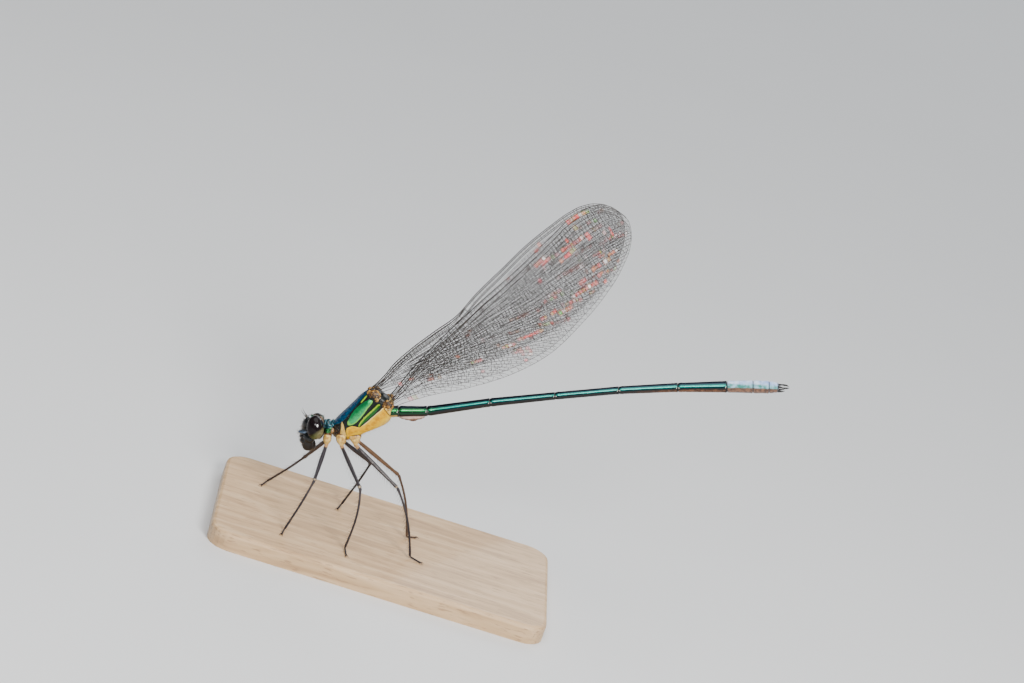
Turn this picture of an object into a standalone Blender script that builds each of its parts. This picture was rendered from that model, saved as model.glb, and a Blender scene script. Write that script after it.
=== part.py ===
"""A male metalwing damselfly at life size, standing on a small flat wooden base.

Sizes are in millimetres in the constants below and become metres in the meshes.
The origin is the centre of the base's underside, +Z is up, the head points to -X
and the insect's left side faces -Y.
"""
import math
import random

import bmesh
import bpy
import numpy as np

MM = 0.001
GAP = 0.3            # between pieces that meet
HALF_GAP = GAP / 2
VANE = 0.47          # thickness of a wing's membrane

BASE_LENGTH = 44.0
BASE_WIDTH = 26.0
BASE_THICK = 2.4
BASE_CORNER = 3.0
BASE_CORNER_STEPS = 6
BASE_EDGE = 0.45
BASE_EDGE_STEPS = 2
BASE_SMOOTH = 50.0   # degrees; sharper edges than this stay sharp

# The head's own axes: forward and down along the face, up along the eyes' long axis
HEAD = np.array([-13.08, 0.0, 14.89])
HEAD_PITCH = 17.3
EYE_SIDE = 1.77
EYE_RADII = (1.12, 1.14, 1.66)
ANTENNA_FOOT = (1.02, 0.62, 0.78)
ANTENNA_TIP = (1.95, 1.25, 2.55)
ANTENNA_KNEE = 0.30
ANTENNA_RADII = (0.26, 0.24, 0.09)
ANTENNA_SIDES = 6

# Parts of the head: centre and half sizes as forward, sideways, up
SKULL = (((0.10, 0.0, -0.10), (1.12, 1.95, 1.42)),
         ((-0.42, 0.0, -0.45), (0.62, 1.75, 1.30)))
FRONS = ((0.84, 0.0, -0.04), (0.97, 1.42, 0.95))
CLYPEUS = ((1.38, 0.0, -1.10), (0.94, 1.22, 0.50))
LABRUM = ((1.38, 0.0, -1.98), (0.76, 1.00, 0.50))
LABIUM = ((0.84, 0.0, -2.60), (0.95, 0.88, 0.80))
CHEEK = ((0.66, 0.94, -1.66), (0.86, 0.60, 0.90))
OCELLI = ((0.98, 0.0, 0.86), (0.66, 0.42, 1.04), (0.66, -0.42, 1.04))
OCELLUS_RADIUS = 0.19

# Segments and rings of balls, from the finest to the plainest
FINE_BALL = (20, 14)
BALL = (16, 10)
COLLAR_BALL = (14, 8)
SMALL_BALL = (12, 8)
BOSS_BALL = (10, 8)
TINY_BALL = (8, 6)

# Prothorax: three lobes of its collar and the neck, as x, z, half length, width, height
COLLAR = ((-11.95, 14.85, 0.42, 0.82, 0.95),
          (-11.40, 14.75, 0.62, 1.05, 1.08),
          (-11.15, 15.25, 0.50, 0.95, 0.72))
NECK_RADIUS = 0.52
NECK_SIDES = 12
NECK = (-12.6, -10.9, 14.65)

# Synthorax: level, front, back and half width of its cross sections, from the legs up
THORAX = ((13.95, -10.55, -8.30, 0.55),
          (14.35, -10.95, -7.35, 0.98),
          (14.90, -10.98, -6.75, 1.26),
          (15.60, -10.82, -6.15, 1.45),
          (16.50, -10.45, -5.45, 1.58),
          (17.50, -9.95, -4.70, 1.66),
          (18.35, -9.52, -4.42, 1.66),
          (19.10, -9.15, -4.45, 1.60),
          (19.85, -8.82, -4.50, 1.50),
          (20.50, -8.50, -4.62, 1.34),
          (21.00, -8.15, -5.30, 1.12),
          (21.35, -7.70, -6.20, 0.72))
THORAX_SIDES = 20
THORAX_SQUARENESS = 0.80
WING_BOSSES = ((-7.05, 21.10), (-4.95, 20.35))
WING_BOSS_RADIUS = 0.62
WING_BOSS_WIDTH = 0.8      # share of that radius, sideways

# Abdomen: length, upward pitch in degrees, half height and half width at the far end
ABDOMEN_START = (-4.76, 19.21)
ABDOMEN_START_HALF = (0.82, 0.84)
ABDOMEN = ((1.20, 21.0, 0.76, 0.80),
           (3.61, 18.9, 0.70, 0.74),
           (7.99, 27.3, 0.60, 0.64),
           (8.23, 24.9, 0.54, 0.58),
           (8.02, 24.2, 0.55, 0.58),
           (7.41, 21.7, 0.64, 0.66),
           (6.14, 19.7, 0.80, 0.80),
           (3.25, 18.3, 0.88, 0.86),
           (2.01, 17.6, 0.85, 0.84),
           (1.11, 15.2, 0.66, 0.70))
ABDOMEN_SIDES = 14
WAIST = 0.93
RIM_LENGTH = 0.35
RIM_SIZE = 0.97
TAIL_TIP_FROM = 8          # first segment of the pale tail tip
GENITAL_BULGE = ((-1.85, 0.0, 19.45), (1.35, 0.52, 0.62), 18.9)
CERCUS = ((0.00, 0.36, 0.24), (0.45, 0.52, 0.21), (0.95, 0.56, 0.17), (1.38, 0.30, 0.12))
PARAPROCT = ((0.00, 0.32, 0.19), (0.45, 0.36, 0.16), (0.85, 0.30, 0.09))
CERCUS_LEVEL = 0.22
PARAPROCT_LEVEL = -0.36
CLASPER_SIDES = 8

# Wings: root, direction in degrees, length, distance from the middle at root and beyond
FORE_WING = ((-7.16, 21.60), 53.0, 38.1, 0.60, 0.41)
HIND_WING = ((-4.96, 20.62), 54.0, 37.8, 1.30, 1.26)
# Distance of the edges from the wing's own axis, by fraction of its length
FORE_LEAD = ((-0.014, 0.40), (0.0, 0.45), (0.04, 0.75), (0.09, 1.35), (0.15, 1.75), (0.27, 2.10),
             (0.36, 2.25), (0.45, 3.20), (0.58, 4.20), (0.67, 4.90), (0.79, 5.42), (0.86, 5.55),
             (0.915, 5.30), (0.955, 4.60), (0.985, 3.40), (1.0, 2.10))
FORE_TRAIL = ((-0.014, -0.42), (0.0, -0.48), (0.10, -1.50), (0.20, -2.90), (0.30, -4.20),
              (0.42, -5.20), (0.55, -5.85), (0.65, -5.80), (0.75, -5.20), (0.85, -3.95),
              (0.93, -2.20), (0.97, -0.80), (0.99, 0.35), (1.0, 1.30))
HIND_LEAD = ((-0.014, 0.38), (0.0, 0.42), (0.05, 0.90), (0.12, 1.70), (0.22, 2.60), (0.33, 3.30),
             (0.44, 3.94), (0.60, 4.75), (0.76, 5.82), (0.86, 6.45), (0.92, 6.20), (0.965, 5.45),
             (0.99, 4.00), (1.0, 2.70))
HIND_TRAIL = ((-0.014, -0.40), (0.0, -0.45), (0.11, -1.64), (0.25, -3.88), (0.40, -5.55),
              (0.54, -6.00), (0.67, -5.14), (0.79, -3.85), (0.90, -1.98), (0.97, -0.04),
              (0.99, 0.90), (1.0, 1.90))
WING_ROWS = 16
WING_ROOT_THICK = 0.80
WING_ROOT_BLEND = 0.10
WING_CLOSED_BY = 0.20      # share of the length where the wing has come in to its plane
# Main veins: share of the way from the leading to the trailing edge, half width, height
VEINS = (0.10, 0.20, 0.36, 0.52, 0.68, 0.84)
VEIN_HALF = 0.02
LEADING_VEIN = 0.035
VEIN_HEIGHT = 0.09
VEIN_START = (0.04, 0.10)

# Legs: top of the coxa, hip, knee, ankle, toe, and how far the shin bows towards the tail
LEGS = {
    "fore_left": ((-11.30, -0.78, 14.30), (-11.00, -0.95, 12.75), (-11.25, -5.40, 9.41),
                  (-12.93, -7.21, 3.05), (-13.15, -8.60, 2.98), 0.10),
    "fore_right": ((-11.30, 0.78, 14.30), (-11.00, 0.95, 12.75), (-12.87, 4.05, 8.28),
                   (-16.36, 6.15, 3.05), (-16.95, 4.75, 2.98), 0.10),
    "middle_left": ((-9.75, -0.85, 14.90), (-9.13, -0.98, 13.20), (-5.59, -6.80, 10.85),
                    (-5.00, -7.13, 3.05), (-4.62, -9.00, 2.98), 0.45),
    "middle_right": ((-9.75, 0.85, 14.90), (-9.13, 0.98, 13.20), (-4.53, 5.20, 9.76),
                     (-6.31, 6.27, 3.05), (-6.70, 4.75, 2.98), 0.10),
    "hind_left": ((-8.05, -0.88, 15.30), (-7.47, -0.98, 13.86), (-0.89, -2.40, 10.66),
                  (3.43, -3.60, 3.05), (4.93, -4.10, 2.98), 0.60),
    "hind_right": ((-8.05, 0.88, 15.30), (-7.47, 0.98, 13.86), (-0.90, 2.30, 10.50),
                   (2.72, 2.33, 3.05), (3.97, 3.42, 2.98), 0.50),
}
COXA_RADII = (0.58, 0.56, 0.34)
FEMUR_RADII = (0.31, 0.34, 0.30, 0.28)
TIBIA_RADII = (0.27, 0.26, 0.25, 0.25)
TARSUS_RADII = (0.25, 0.26, 0.26, 0.20)
COXA_AT = (0.0, 0.45, 1.0)
FEMUR_AT = (0.0, 0.25, 0.85, 1.0)
TIBIA_AT = (0.0, 0.40, 0.75, 1.0)
TARSUS_AT = (0.0, 0.30, 0.75, 1.0)
TIBIA_BOW = (0.0, 1.0, 0.55, 0.0)
LEG_SIDES = 8
COXA_SIDES = 12
LIMB_SIDEWAYS = (0.3, 1.0, 0.2)
# Spines: in two rows along the inner side of thigh and shin
SPINE_LENGTH = 1.05
SPINE_ROOT = 0.17
SPINE_TIP = 0.035
SPINE_SPACING = 0.95
SPINE_LEAN = 52.0
SPINE_SPREAD = 38.0
SPINE_FREE_END = 0.85
SPINE_SIDES = 5
SPINE_STAGGER = 0.15       # shift between the rows and random shift, as shares of the spacing
SPINE_JITTER = 0.08
SPINE_VARY = (0.88, 1.08)
CLAW_LENGTH = 0.62
CLAW_ROOT = 0.14
CLAW_TIP = 0.05
CLAW_SPREAD = 26.0
CLAW_SUNK = 0.2

# Finishes: colour, roughness, metallic
HEAD_BLACK = ((0.012, 0.016, 0.02), 0.25, 0.3)
EYE_GLOSS = ((0.02, 0.015, 0.012), 0.08)
ANTENNA_DARK = ((0.03, 0.025, 0.02), 0.4)
COLLAR_METAL = ((0.02, 0.16, 0.16), 0.3, 0.5)
THORAX_METAL = ((0.02, 0.28, 0.16), 0.25, 0.6)
ABDOMEN_METAL = ((0.01, 0.20, 0.17), 0.25, 0.4)
TAIL_BLOOM = ((0.42, 0.52, 0.62), 0.6, 0.4)
CLASPER_BLACK = ((0.02, 0.02, 0.02), 0.4)
WING_SMOKE = ((0.10, 0.10, 0.11), 0.3)
COXA_CREAM = ((0.62, 0.48, 0.22), 0.5)
LEG_BROWN = ((0.06, 0.045, 0.04), 0.45)
BASE_BEECH = ((0.55, 0.38, 0.22), 0.5)


def material(name, colour, roughness, metallic=0.0):
    """Plain Principled material."""
    made = bpy.data.materials.new(name)
    made.use_nodes = True
    shader = made.node_tree.nodes["Principled BSDF"]
    shader.inputs["Base Color"].default_value = (*colour, 1.0)
    shader.inputs["Roughness"].default_value = roughness
    shader.inputs["Metallic"].default_value = metallic
    made.diffuse_color = (*colour, 1.0)
    return made


def collection(name):
    """New collection in the scene."""
    made = bpy.data.collections.new(name)
    bpy.context.scene.collection.children.link(made)
    return made


def object_from(bm, name):
    """Object from a bmesh whose vertices are in millimetres."""
    bmesh.ops.scale(bm, vec=(MM, MM, MM), verts=bm.verts)
    bmesh.ops.recalc_face_normals(bm, faces=bm.faces)
    mesh = bpy.data.meshes.new(name)
    bm.to_mesh(mesh)
    bm.free()
    made = bpy.data.objects.new(name, mesh)
    INSECT.objects.link(made)
    return made


def finish(piece, name, finish_material, smooth=35.0):
    """Name a piece, give it its material and shade it."""
    piece.name = name
    piece.data.name = name
    piece.data.materials.clear()
    piece.data.materials.append(finish_material)
    piece.data.shade_smooth()
    piece.data.set_sharp_from_angle(angle=math.radians(smooth))
    return piece


def unit(vector):
    """Vector of length one."""
    return vector / np.linalg.norm(vector)


def curve_value(points, at):
    """Smooth curve through the points: cubic pieces with the slope of their neighbours."""
    x, y = np.array(points).T
    slope = np.gradient(y, x)
    at = np.clip(at, x[0], x[-1])
    k = int(np.clip(np.searchsorted(x, at) - 1, 0, len(x) - 2))
    step = x[k + 1] - x[k]
    u = (at - x[k]) / step
    bend = (2 * u**3 - 3 * u**2 + 1) * y[k] + (3 * u**2 - 2 * u**3) * y[k + 1]
    return bend + step * ((u**3 - 2 * u**2 + u) * slope[k] + (u**3 - u**2) * slope[k + 1])


def loft(rings, name="loft"):
    """Closed skin over rings of points, each ring joined to the next, with flat ends."""
    bm = bmesh.new()
    rows = [[bm.verts.new(point) for point in ring] for ring in rings]
    count = len(rows[0])
    for low, high in zip(rows, rows[1:]):
        for i in range(count):
            j = (i + 1) % count
            bm.faces.new((low[i], low[j], high[j], high[i]))
    bm.faces.new(rows[0][::-1])
    bm.faces.new(rows[-1])
    return object_from(bm, name)


def ellipse(centre, across, along, half_across, half_along, sides, squareness=1.0):
    """Ring of points; a squareness under 1 fills the ellipse's corners."""
    ring = []
    for i in range(sides):
        angle = 2 * math.pi * (i + 0.5) / sides
        x = math.copysign(abs(math.cos(angle))**squareness, math.cos(angle))
        y = math.copysign(abs(math.sin(angle))**squareness, math.sin(angle))
        ring.append(centre + across * half_across * x + along * half_along * y)
    return ring


def mitre(ring, along, point, normal):
    """Slide a ring's points along a direction on to a plane."""
    reach = np.dot(along, normal)
    return [p + along * (np.dot(point - p, normal) / reach) for p in ring]


def limb(points, radii, sides=LEG_SIDES, start=None, end=None):
    """Round tapering limb along a path; start and end are planes that trim its ends."""
    points = [np.array(p, float) for p in points]
    path = [unit(b - a) for a, b in zip(points, points[1:])]
    tangents = [path[0]] + [unit(a + b) for a, b in zip(path, path[1:])] + [path[-1]]
    side = unit(np.cross(tangents[0], LIMB_SIDEWAYS))
    rings = []
    for point, tangent, radius in zip(points, tangents, radii):
        side = unit(side - tangent * np.dot(side, tangent))
        other = np.cross(tangent, side)
        rings.append(ellipse(point, side, other, radius, radius, sides))
    if start is not None:
        rings[0] = mitre(rings[0], tangents[0], *start)
    if end is not None:
        rings[-1] = mitre(rings[-1], tangents[-1], *end)
    return loft(rings)


def ball(centre, radii, turn=0.0, fineness=BALL):
    """Ellipsoid, pitched nose down by turn degrees about the sideways axis."""
    bm = bmesh.new()
    bmesh.ops.create_uvsphere(bm, u_segments=fineness[0], v_segments=fineness[1], radius=1.0)
    c, s = math.cos(math.radians(turn)), math.sin(math.radians(turn))
    for vert in bm.verts:
        x, y, z = (vert.co[k] * radii[k] for k in range(3))
        vert.co = (centre[0] + x * c - z * s, centre[1] + y, centre[2] + x * s + z * c)
    return object_from(bm, "ball")


def keep_largest(piece):
    """Keep only the largest closed surface of a mesh."""
    bm = bmesh.new()
    bm.from_mesh(piece.data)
    unseen = set(bm.faces)
    shells = []
    while unseen:
        stack = [unseen.pop()]
        shell = []
        while stack:
            face = stack.pop()
            shell.append(face)
            for edge in face.edges:
                for other in edge.link_faces:
                    if other in unseen:
                        unseen.remove(other)
                        stack.append(other)
        shells.append(shell)
    shells.sort(key=lambda shell: sum(face.calc_area() for face in shell))
    for shell in shells[:-1]:
        bmesh.ops.delete(bm, geom=shell, context="FACES")
    bm.to_mesh(piece.data)
    bm.free()


def combine(piece, others, operation, solver="EXACT"):
    """Apply one Boolean of a piece with a collection of closed pieces, then remove these."""
    group = bpy.data.collections.new("group")
    CUTTERS.children.link(group)
    for other in others:
        INSECT.objects.unlink(other)
        group.objects.link(other)
        other.hide_render = True
        other.display_type = "WIRE"
    step = piece.modifiers.new("combine", "BOOLEAN")
    step.operand_type = "COLLECTION"
    step.collection = group
    step.operation = operation
    step.solver = solver
    bpy.context.view_layer.update()
    graph = bpy.context.evaluated_depsgraph_get()
    joined = bpy.data.meshes.new_from_object(piece.evaluated_get(graph))
    piece.modifiers.clear()
    piece.data = joined
    for other in others:
        bpy.data.objects.remove(other)
    bpy.data.collections.remove(group)
    keep_largest(piece)
    return piece


def fuse(pieces, solver="EXACT"):
    """Join overlapping pieces into one closed body."""
    return combine(pieces[0], pieces[1:], "UNION", solver)


def carve(piece, cutters, solver="EXACT"):
    """Cut a piece clear of its neighbours' grown shapes."""
    return combine(piece, cutters, "DIFFERENCE", solver)


def in_head(place):
    """Point of the world for a place in the head's own axes: forward, sideways, up."""
    c, s = math.cos(math.radians(HEAD_PITCH)), math.sin(math.radians(HEAD_PITCH))
    forward, sideways, up = place
    return HEAD + np.array([-c * forward - s * up, sideways, c * up - s * forward])


def head_ball(centre, radii, grow=0.0, side=1, fineness=BALL):
    """Ellipsoid of the head, grown by a margin."""
    place = in_head((centre[0], centre[1] * side, centre[2]))
    sizes = [radius + grow for radius in radii]
    return ball(place, sizes, HEAD_PITCH, fineness)


def eye(side, grow=0.0):
    """Compound eye: an ellipsoid at the side of the head."""
    return head_ball((0.0, EYE_SIDE, 0.0), EYE_RADII, grow, side, FINE_BALL)


def skull(grow=0.0):
    """The two ellipsoids that carry the face and meet the neck."""
    return [head_ball(centre, radii, grow) for centre, radii in SKULL]


def make_head():
    """Skull, face and mouthparts with sockets for the eyes."""
    pieces = skull()
    for centre, radii in (FRONS, CLYPEUS, LABRUM, LABIUM):
        pieces.append(head_ball(centre, radii))
    for side in (-1, 1):
        pieces.append(head_ball(*CHEEK, side=side, fineness=SMALL_BALL))
    for place in OCELLI:
        pieces.append(head_ball(place, (OCELLUS_RADIUS,) * 3, fineness=TINY_BALL))
    head = fuse(pieces, "MANIFOLD")
    carve(head, [eye(side, GAP) for side in (-1, 1)], "MANIFOLD")
    finish(head, "head", material("head_black", *HEAD_BLACK))


def antenna(side):
    """Feeler: a short stalk that tapers to a bristle."""
    foot, tip = (np.array(in_head((p[0], p[1] * side, p[2]))) for p in (ANTENNA_FOOT, ANTENNA_TIP))
    knee = foot + (tip - foot) * ANTENNA_KNEE
    return limb((foot, knee, tip), ANTENNA_RADII, ANTENNA_SIDES)


def make_antennae(finish_material):
    """Both feelers, cut clear of the head's brow and eyes."""
    for side, word in ((-1, "left"), (1, "right")):
        cutters = [head_ball(*FRONS, grow=GAP), eye(side, GAP)] + skull(GAP)
        made = carve(antenna(side), cutters)
        finish(made, f"antenna_{word}", finish_material)


def thorax_form(grow=0.0):
    """Synthorax: level cross sections, sloped back from the legs to the wings."""
    rings = []
    last = len(THORAX) - 1
    for k, (level, front, back, half_width) in enumerate(THORAX):
        level = level - grow if k == 0 else level + grow if k == last else level
        centre = np.array([(front + back) / 2, 0.0, level])
        half_length = (back - front) / 2 + grow
        rings.append(ellipse(centre, np.array([1.0, 0, 0]), np.array([0, 1.0, 0]), half_length,
                             half_width + grow, THORAX_SIDES, THORAX_SQUARENESS))
    return loft(rings)


def wing_bosses(grow=0.0):
    """Knuckles of the wing bases on the back."""
    made = []
    for (x, z), y in zip(WING_BOSSES, (FORE_WING[3], HIND_WING[3])):
        for side in (-1, 1):
            radius = WING_BOSS_RADIUS + grow
            sizes = (radius, radius * WING_BOSS_WIDTH, radius)
            made.append(ball((x, y * side, z), sizes, fineness=BOSS_BALL))
    return made


def make_thorax():
    """Synthorax with the knuckles of its wings."""
    thorax = fuse([thorax_form()] + wing_bosses())
    finish(thorax, "thorax", material("thorax_metal", *THORAX_METAL))


def prothorax_form(grow=0.0):
    """Collar lobes and neck."""
    made = []
    for x, z, half_length, half_width, half_height in COLLAR:
        sizes = (half_length + grow, half_width + grow, half_height + grow)
        made.append(ball((x, 0.0, z), sizes, fineness=COLLAR_BALL))
    start, end, level = NECK
    radii = (NECK_RADIUS + grow,) * 2
    made.append(limb(((start, 0, level), (end, 0, level)), radii, NECK_SIDES))
    return made


def make_prothorax():
    """Prothorax, cut clear of the head before it and the synthorax behind it."""
    prothorax = fuse(prothorax_form())
    carve(prothorax, skull(GAP) + [eye(-1, GAP), eye(1, GAP), thorax_form(GAP)])
    finish(prothorax, "prothorax", material("collar_metal", *COLLAR_METAL))


def abdomen_joints():
    """Points where the abdomen's segments meet, from the thorax to the tail."""
    x, z = ABDOMEN_START
    points = [np.array([x, 0.0, z])]
    for length, pitch, _height, _width in ABDOMEN:
        angle = math.radians(pitch)
        step = np.array([math.cos(angle), 0.0, math.sin(angle)]) * length
        points.append(points[-1] + step)
    return points


def abdomen_segment(number):
    """One ring of the abdomen: slightly waisted, with flat ends that face its neighbours."""
    joints = abdomen_joints()
    start, end = joints[number - 1], joints[number]
    forward = unit(end - start)
    before = unit(start - joints[number - 2]) if number > 1 else forward
    after = unit(joints[number + 1] - end) if number < len(ABDOMEN) else forward
    halves = [ABDOMEN_START_HALF] + [row[2:] for row in ABDOMEN]
    (h0, w0), (h1, w1) = halves[number - 1], halves[number]
    length = np.linalg.norm(end - start)
    rim = min(RIM_LENGTH, length / 4)
    sideways = np.array([0.0, 1.0, 0.0])
    up = np.cross(forward, sideways) * -1
    rings = []
    for at, slim in ((0.0, 1.0), (rim, WAIST), (length / 2, WAIST), (length - rim, RIM_SIZE),
                     (length, 1.0)):
        share = at / length
        height, width = ((a + (b - a) * share) * slim for a, b in ((h0, h1), (w0, w1)))
        rings.append(ellipse(start + forward * at, sideways, up, width, height, ABDOMEN_SIDES))
    first, last = unit(before + forward), unit(forward + after)
    if number > 1:
        rings[0] = mitre(rings[0], forward, start + first * HALF_GAP, first)
    rings[-1] = mitre(rings[-1], forward, end - last * HALF_GAP, last)
    return loft(rings)


def make_abdomen():
    """Ten segments; the first is cut clear of the thorax, the second bulges below."""
    for number in range(1, len(ABDOMEN) + 1):
        segment = abdomen_segment(number)
        if number == 1:
            carve(segment, [thorax_form(GAP)])
        if number == 2:
            centre, radii, pitch = GENITAL_BULGE
            fuse([segment, ball(centre, radii, pitch, SMALL_BALL)])
        look = ABDOMEN_METAL if number < TAIL_TIP_FROM else TAIL_BLOOM
        finish(segment, f"abdomen_{number}", material(f"abdomen_{number}", *look))


def make_tail():
    """Hooked upper claspers and shorter lower ones at the end of the abdomen."""
    joints = abdomen_joints()
    forward = unit(joints[-1] - joints[-2])
    up = np.array([-forward[2], 0.0, forward[0]])
    for name, shape, level in (("cercus", CERCUS, CERCUS_LEVEL),
                               ("paraproct", PARAPROCT, PARAPROCT_LEVEL)):
        for side, word in ((-1, "left"), (1, "right")):
            points = []
            for reach, across, _radius in shape:
                place = joints[-1] + forward * (reach + HALF_GAP) + up * level
                points.append(place + np.array([0, across * side, 0]))
            clasper = limb(points, [row[2] for row in shape], CLASPER_SIDES,
                           start=(joints[-1] + forward * HALF_GAP, forward))
            finish(clasper, f"{name}_{word}", material(f"{name}_{word}", *CLASPER_BLACK))


def vein_columns():
    """Columns across a wing as share of the way and height: each vein has a foot, crest, foot."""
    columns = [(0.0, VEIN_HEIGHT), (LEADING_VEIN, 0.0)]
    for vein in VEINS:
        columns += [(vein - VEIN_HALF, 0.0), (vein, VEIN_HEIGHT), (vein + VEIN_HALF, 0.0)]
    return columns + [(1.0, 0.0)]


def wing(shape, lead, trail, side):
    """Membrane on a grid of rows and columns, alike on both faces, with veins on its outer one."""
    (root_x, root_z), angle, length, root_side, rest_side = shape
    angle = math.radians(angle)
    along = np.array([math.cos(angle), 0.0, math.sin(angle)])
    across = np.array([-math.sin(angle), 0.0, math.cos(angle)])
    start = lead[0][0]
    rows = [start + (1 - start) * math.sin(math.pi / 2 * k / WING_ROWS)
            for k in range(WING_ROWS + 1)]
    bm = bmesh.new()
    faces = []
    for face_side in (-1, 1):
        grid = []
        for t in rows:
            front, back = curve_value(lead, t), curve_value(trail, t)
            share = min(max(t / WING_CLOSED_BY, 0.0), 1.0)
            middle = root_side + (rest_side - root_side) * share**2 * (3 - 2 * share)
            root_share = min(max(1 - t / WING_ROOT_BLEND, 0.0), 1.0)
            thick = VANE + (WING_ROOT_THICK - VANE) * root_share
            row = []
            risen = min(max((t - VEIN_START[0]) / (VEIN_START[1] - VEIN_START[0]), 0.0), 1.0)
            for v, height in vein_columns():
                place = np.array([root_x, 0.0, root_z]) + along * (t * length)
                place = place + across * (front + (back - front) * v)
                raised = height * risen if face_side == side else 0.0
                place[1] = side * middle + face_side * (thick / 2 + raised)
                row.append(bm.verts.new(place))
            grid.append(row)
        faces.append(grid)
    close_vane(bm, faces)
    return object_from(bm, "wing")


def close_vane(bm, faces):
    """Triangles alike on both faces of a vane, and a rim between them."""
    for grid in faces:
        for low, high in zip(grid, grid[1:]):
            for j in range(len(low) - 1):
                bm.faces.new((low[j], low[j + 1], high[j + 1]))
                bm.faces.new((low[j], high[j + 1], high[j]))
    rims = []
    for grid in faces:
        rim = list(grid[0]) + [row[-1] for row in grid[1:]]
        rim += list(grid[-1][-2::-1]) + [row[0] for row in grid[-2:0:-1]]
        rims.append(rim)
    count = len(rims[0])
    for k in range(count):
        n = (k + 1) % count
        bm.faces.new((rims[0][k], rims[0][n], rims[1][n], rims[1][k]))


def make_wings():
    """Four folded wings, the hind pair outside the fore pair."""
    for pair, shape, lead, trail in (("forewing", FORE_WING, FORE_LEAD, FORE_TRAIL),
                                     ("hindwing", HIND_WING, HIND_LEAD, HIND_TRAIL)):
        for side, word in ((-1, "left"), (1, "right")):
            made = wing(shape, lead, trail, side)
            carve(made, [thorax_form(GAP)] + wing_bosses(GAP))
            finish(made, f"{pair}_{word}", material(f"{pair}_{word}", *WING_SMOKE))


def leg_path(joints):
    """Leg joints as arrays and the planes where its parts meet."""
    top, hip, knee, ankle, toe = (np.array(p, float) for p in joints[:5])
    points = [top, hip, knee, ankle, toe]
    ways = [unit(b - a) for a, b in zip(points, points[1:])]
    normals = [unit(a + b) for a, b in zip(ways, ways[1:])]
    return points, normals


def between(a, b, shares):
    """Points on the way from a to b."""
    return [a + (b - a) * share for share in shares]


def spike(root, tip, root_radius, tip_radius):
    """Straight tapering spike."""
    return limb((root, tip), (root_radius, tip_radius), SPINE_SIDES)


def place_along(path, distance):
    """Point and direction at a distance along a path of points."""
    for a, b in zip(path, path[1:]):
        length = np.linalg.norm(b - a)
        if distance <= length:
            break
        distance -= length
    return a + unit(b - a) * distance, unit(b - a)


def spines(path, flexor, draw):
    """Two rows of spines along a limb's path, one on each side of its flexor line."""
    lean, spread = math.radians(SPINE_LEAN), math.radians(SPINE_SPREAD)
    length = sum(np.linalg.norm(b - a) for a, b in zip(path, path[1:]))
    count = int((length - 2 * SPINE_FREE_END) / SPINE_SPACING)
    made = []
    for row in (-1, 1):
        for k in range(count):
            jitter = draw.uniform(-SPINE_JITTER, SPINE_JITTER)
            at = SPINE_FREE_END + SPINE_SPACING * (k + 0.5 + SPINE_STAGGER * row + jitter)
            root, way = place_along(path, at)
            inward = unit(flexor - way * np.dot(flexor, way))
            out = inward * math.cos(spread) + np.cross(way, inward) * math.sin(spread) * row
            reach = SPINE_LENGTH * draw.uniform(*SPINE_VARY)
            tip = root + (way * math.cos(lean) + out * math.sin(lean)) * reach
            made.append(spike(root, tip, SPINE_ROOT, SPINE_TIP))
    return made


def claws(ankle, toe):
    """Two spreading claws at the end of a foot."""
    way = unit(toe - ankle)
    across = unit(np.cross(way, (0, 0, 1.0)))
    spread = math.radians(CLAW_SPREAD)
    made = []
    for side in (-1, 1):
        out = way * math.cos(spread) + across * math.sin(spread) * side
        root = toe - way * CLAW_SUNK
        made.append(spike(root, toe + out * CLAW_LENGTH, CLAW_ROOT, CLAW_TIP))
    return made


def make_leg(name, joints):
    """Coxa, thigh, shin and foot of one leg, each facing the next across a gap."""
    (top, hip, knee, ankle, toe), normals = leg_path(joints)
    faces = [(point, normal) for point, normal in zip((hip, knee, ankle), normals)]
    before = [(point - normal * HALF_GAP, normal) for point, normal in faces]
    after = [(point + normal * HALF_GAP, normal) for point, normal in faces]
    coxa = limb(between(top, hip, COXA_AT), COXA_RADII, COXA_SIDES, end=before[0])
    carve(coxa, [thorax_form(GAP)] if "fore" not in name else prothorax_form(GAP))
    femur = limb(between(hip, knee, FEMUR_AT), FEMUR_RADII, start=after[0], end=before[1])
    bow = np.array([joints[5], 0.0, 0.0])
    shin = [point + bow * share for point, share in zip(between(knee, ankle, TIBIA_AT), TIBIA_BOW)]
    tibia = limb(shin, TIBIA_RADII, start=after[1], end=before[2])
    tarsus = limb(between(ankle, toe, TARSUS_AT), TARSUS_RADII, start=after[2])
    draw = random.Random(name)
    fuse([femur] + spines([hip, knee], ankle - knee, draw))
    fuse([tibia] + spines(shin, hip - knee, draw))
    fuse([tarsus] + claws(ankle, toe))
    brown = material(f"leg_{name}", *LEG_BROWN)
    finish(coxa, f"coxa_{name}", material(f"coxa_{name}", *COXA_CREAM))
    for piece, word in ((femur, "femur"), (tibia, "tibia"), (tarsus, "tarsus")):
        finish(piece, f"{word}_{name}", brown)


def make_base():
    """Rounded wooden plate with softened upper edges."""
    bm = bmesh.new()
    bmesh.ops.create_cube(bm, size=1.0)
    for vert in bm.verts:
        x, y, z = vert.co
        vert.co = (x * BASE_LENGTH, y * BASE_WIDTH, (z + 0.5) * BASE_THICK)
    middle = BASE_THICK / 2
    corners = [e for e in bm.edges if abs(e.verts[0].co.z - e.verts[1].co.z) > middle]
    bmesh.ops.bevel(bm, geom=corners, offset=BASE_CORNER, segments=BASE_CORNER_STEPS,
                    profile=0.5, affect="EDGES")
    rim = [e for e in bm.edges if min(v.co.z for v in e.verts) > middle]
    bmesh.ops.bevel(bm, geom=rim, offset=BASE_EDGE, segments=BASE_EDGE_STEPS, profile=0.5,
                    affect="EDGES")
    base = object_from(bm, "stand_base")
    finish(base, "stand_base", material("base_beech", *BASE_BEECH), BASE_SMOOTH)


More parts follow.
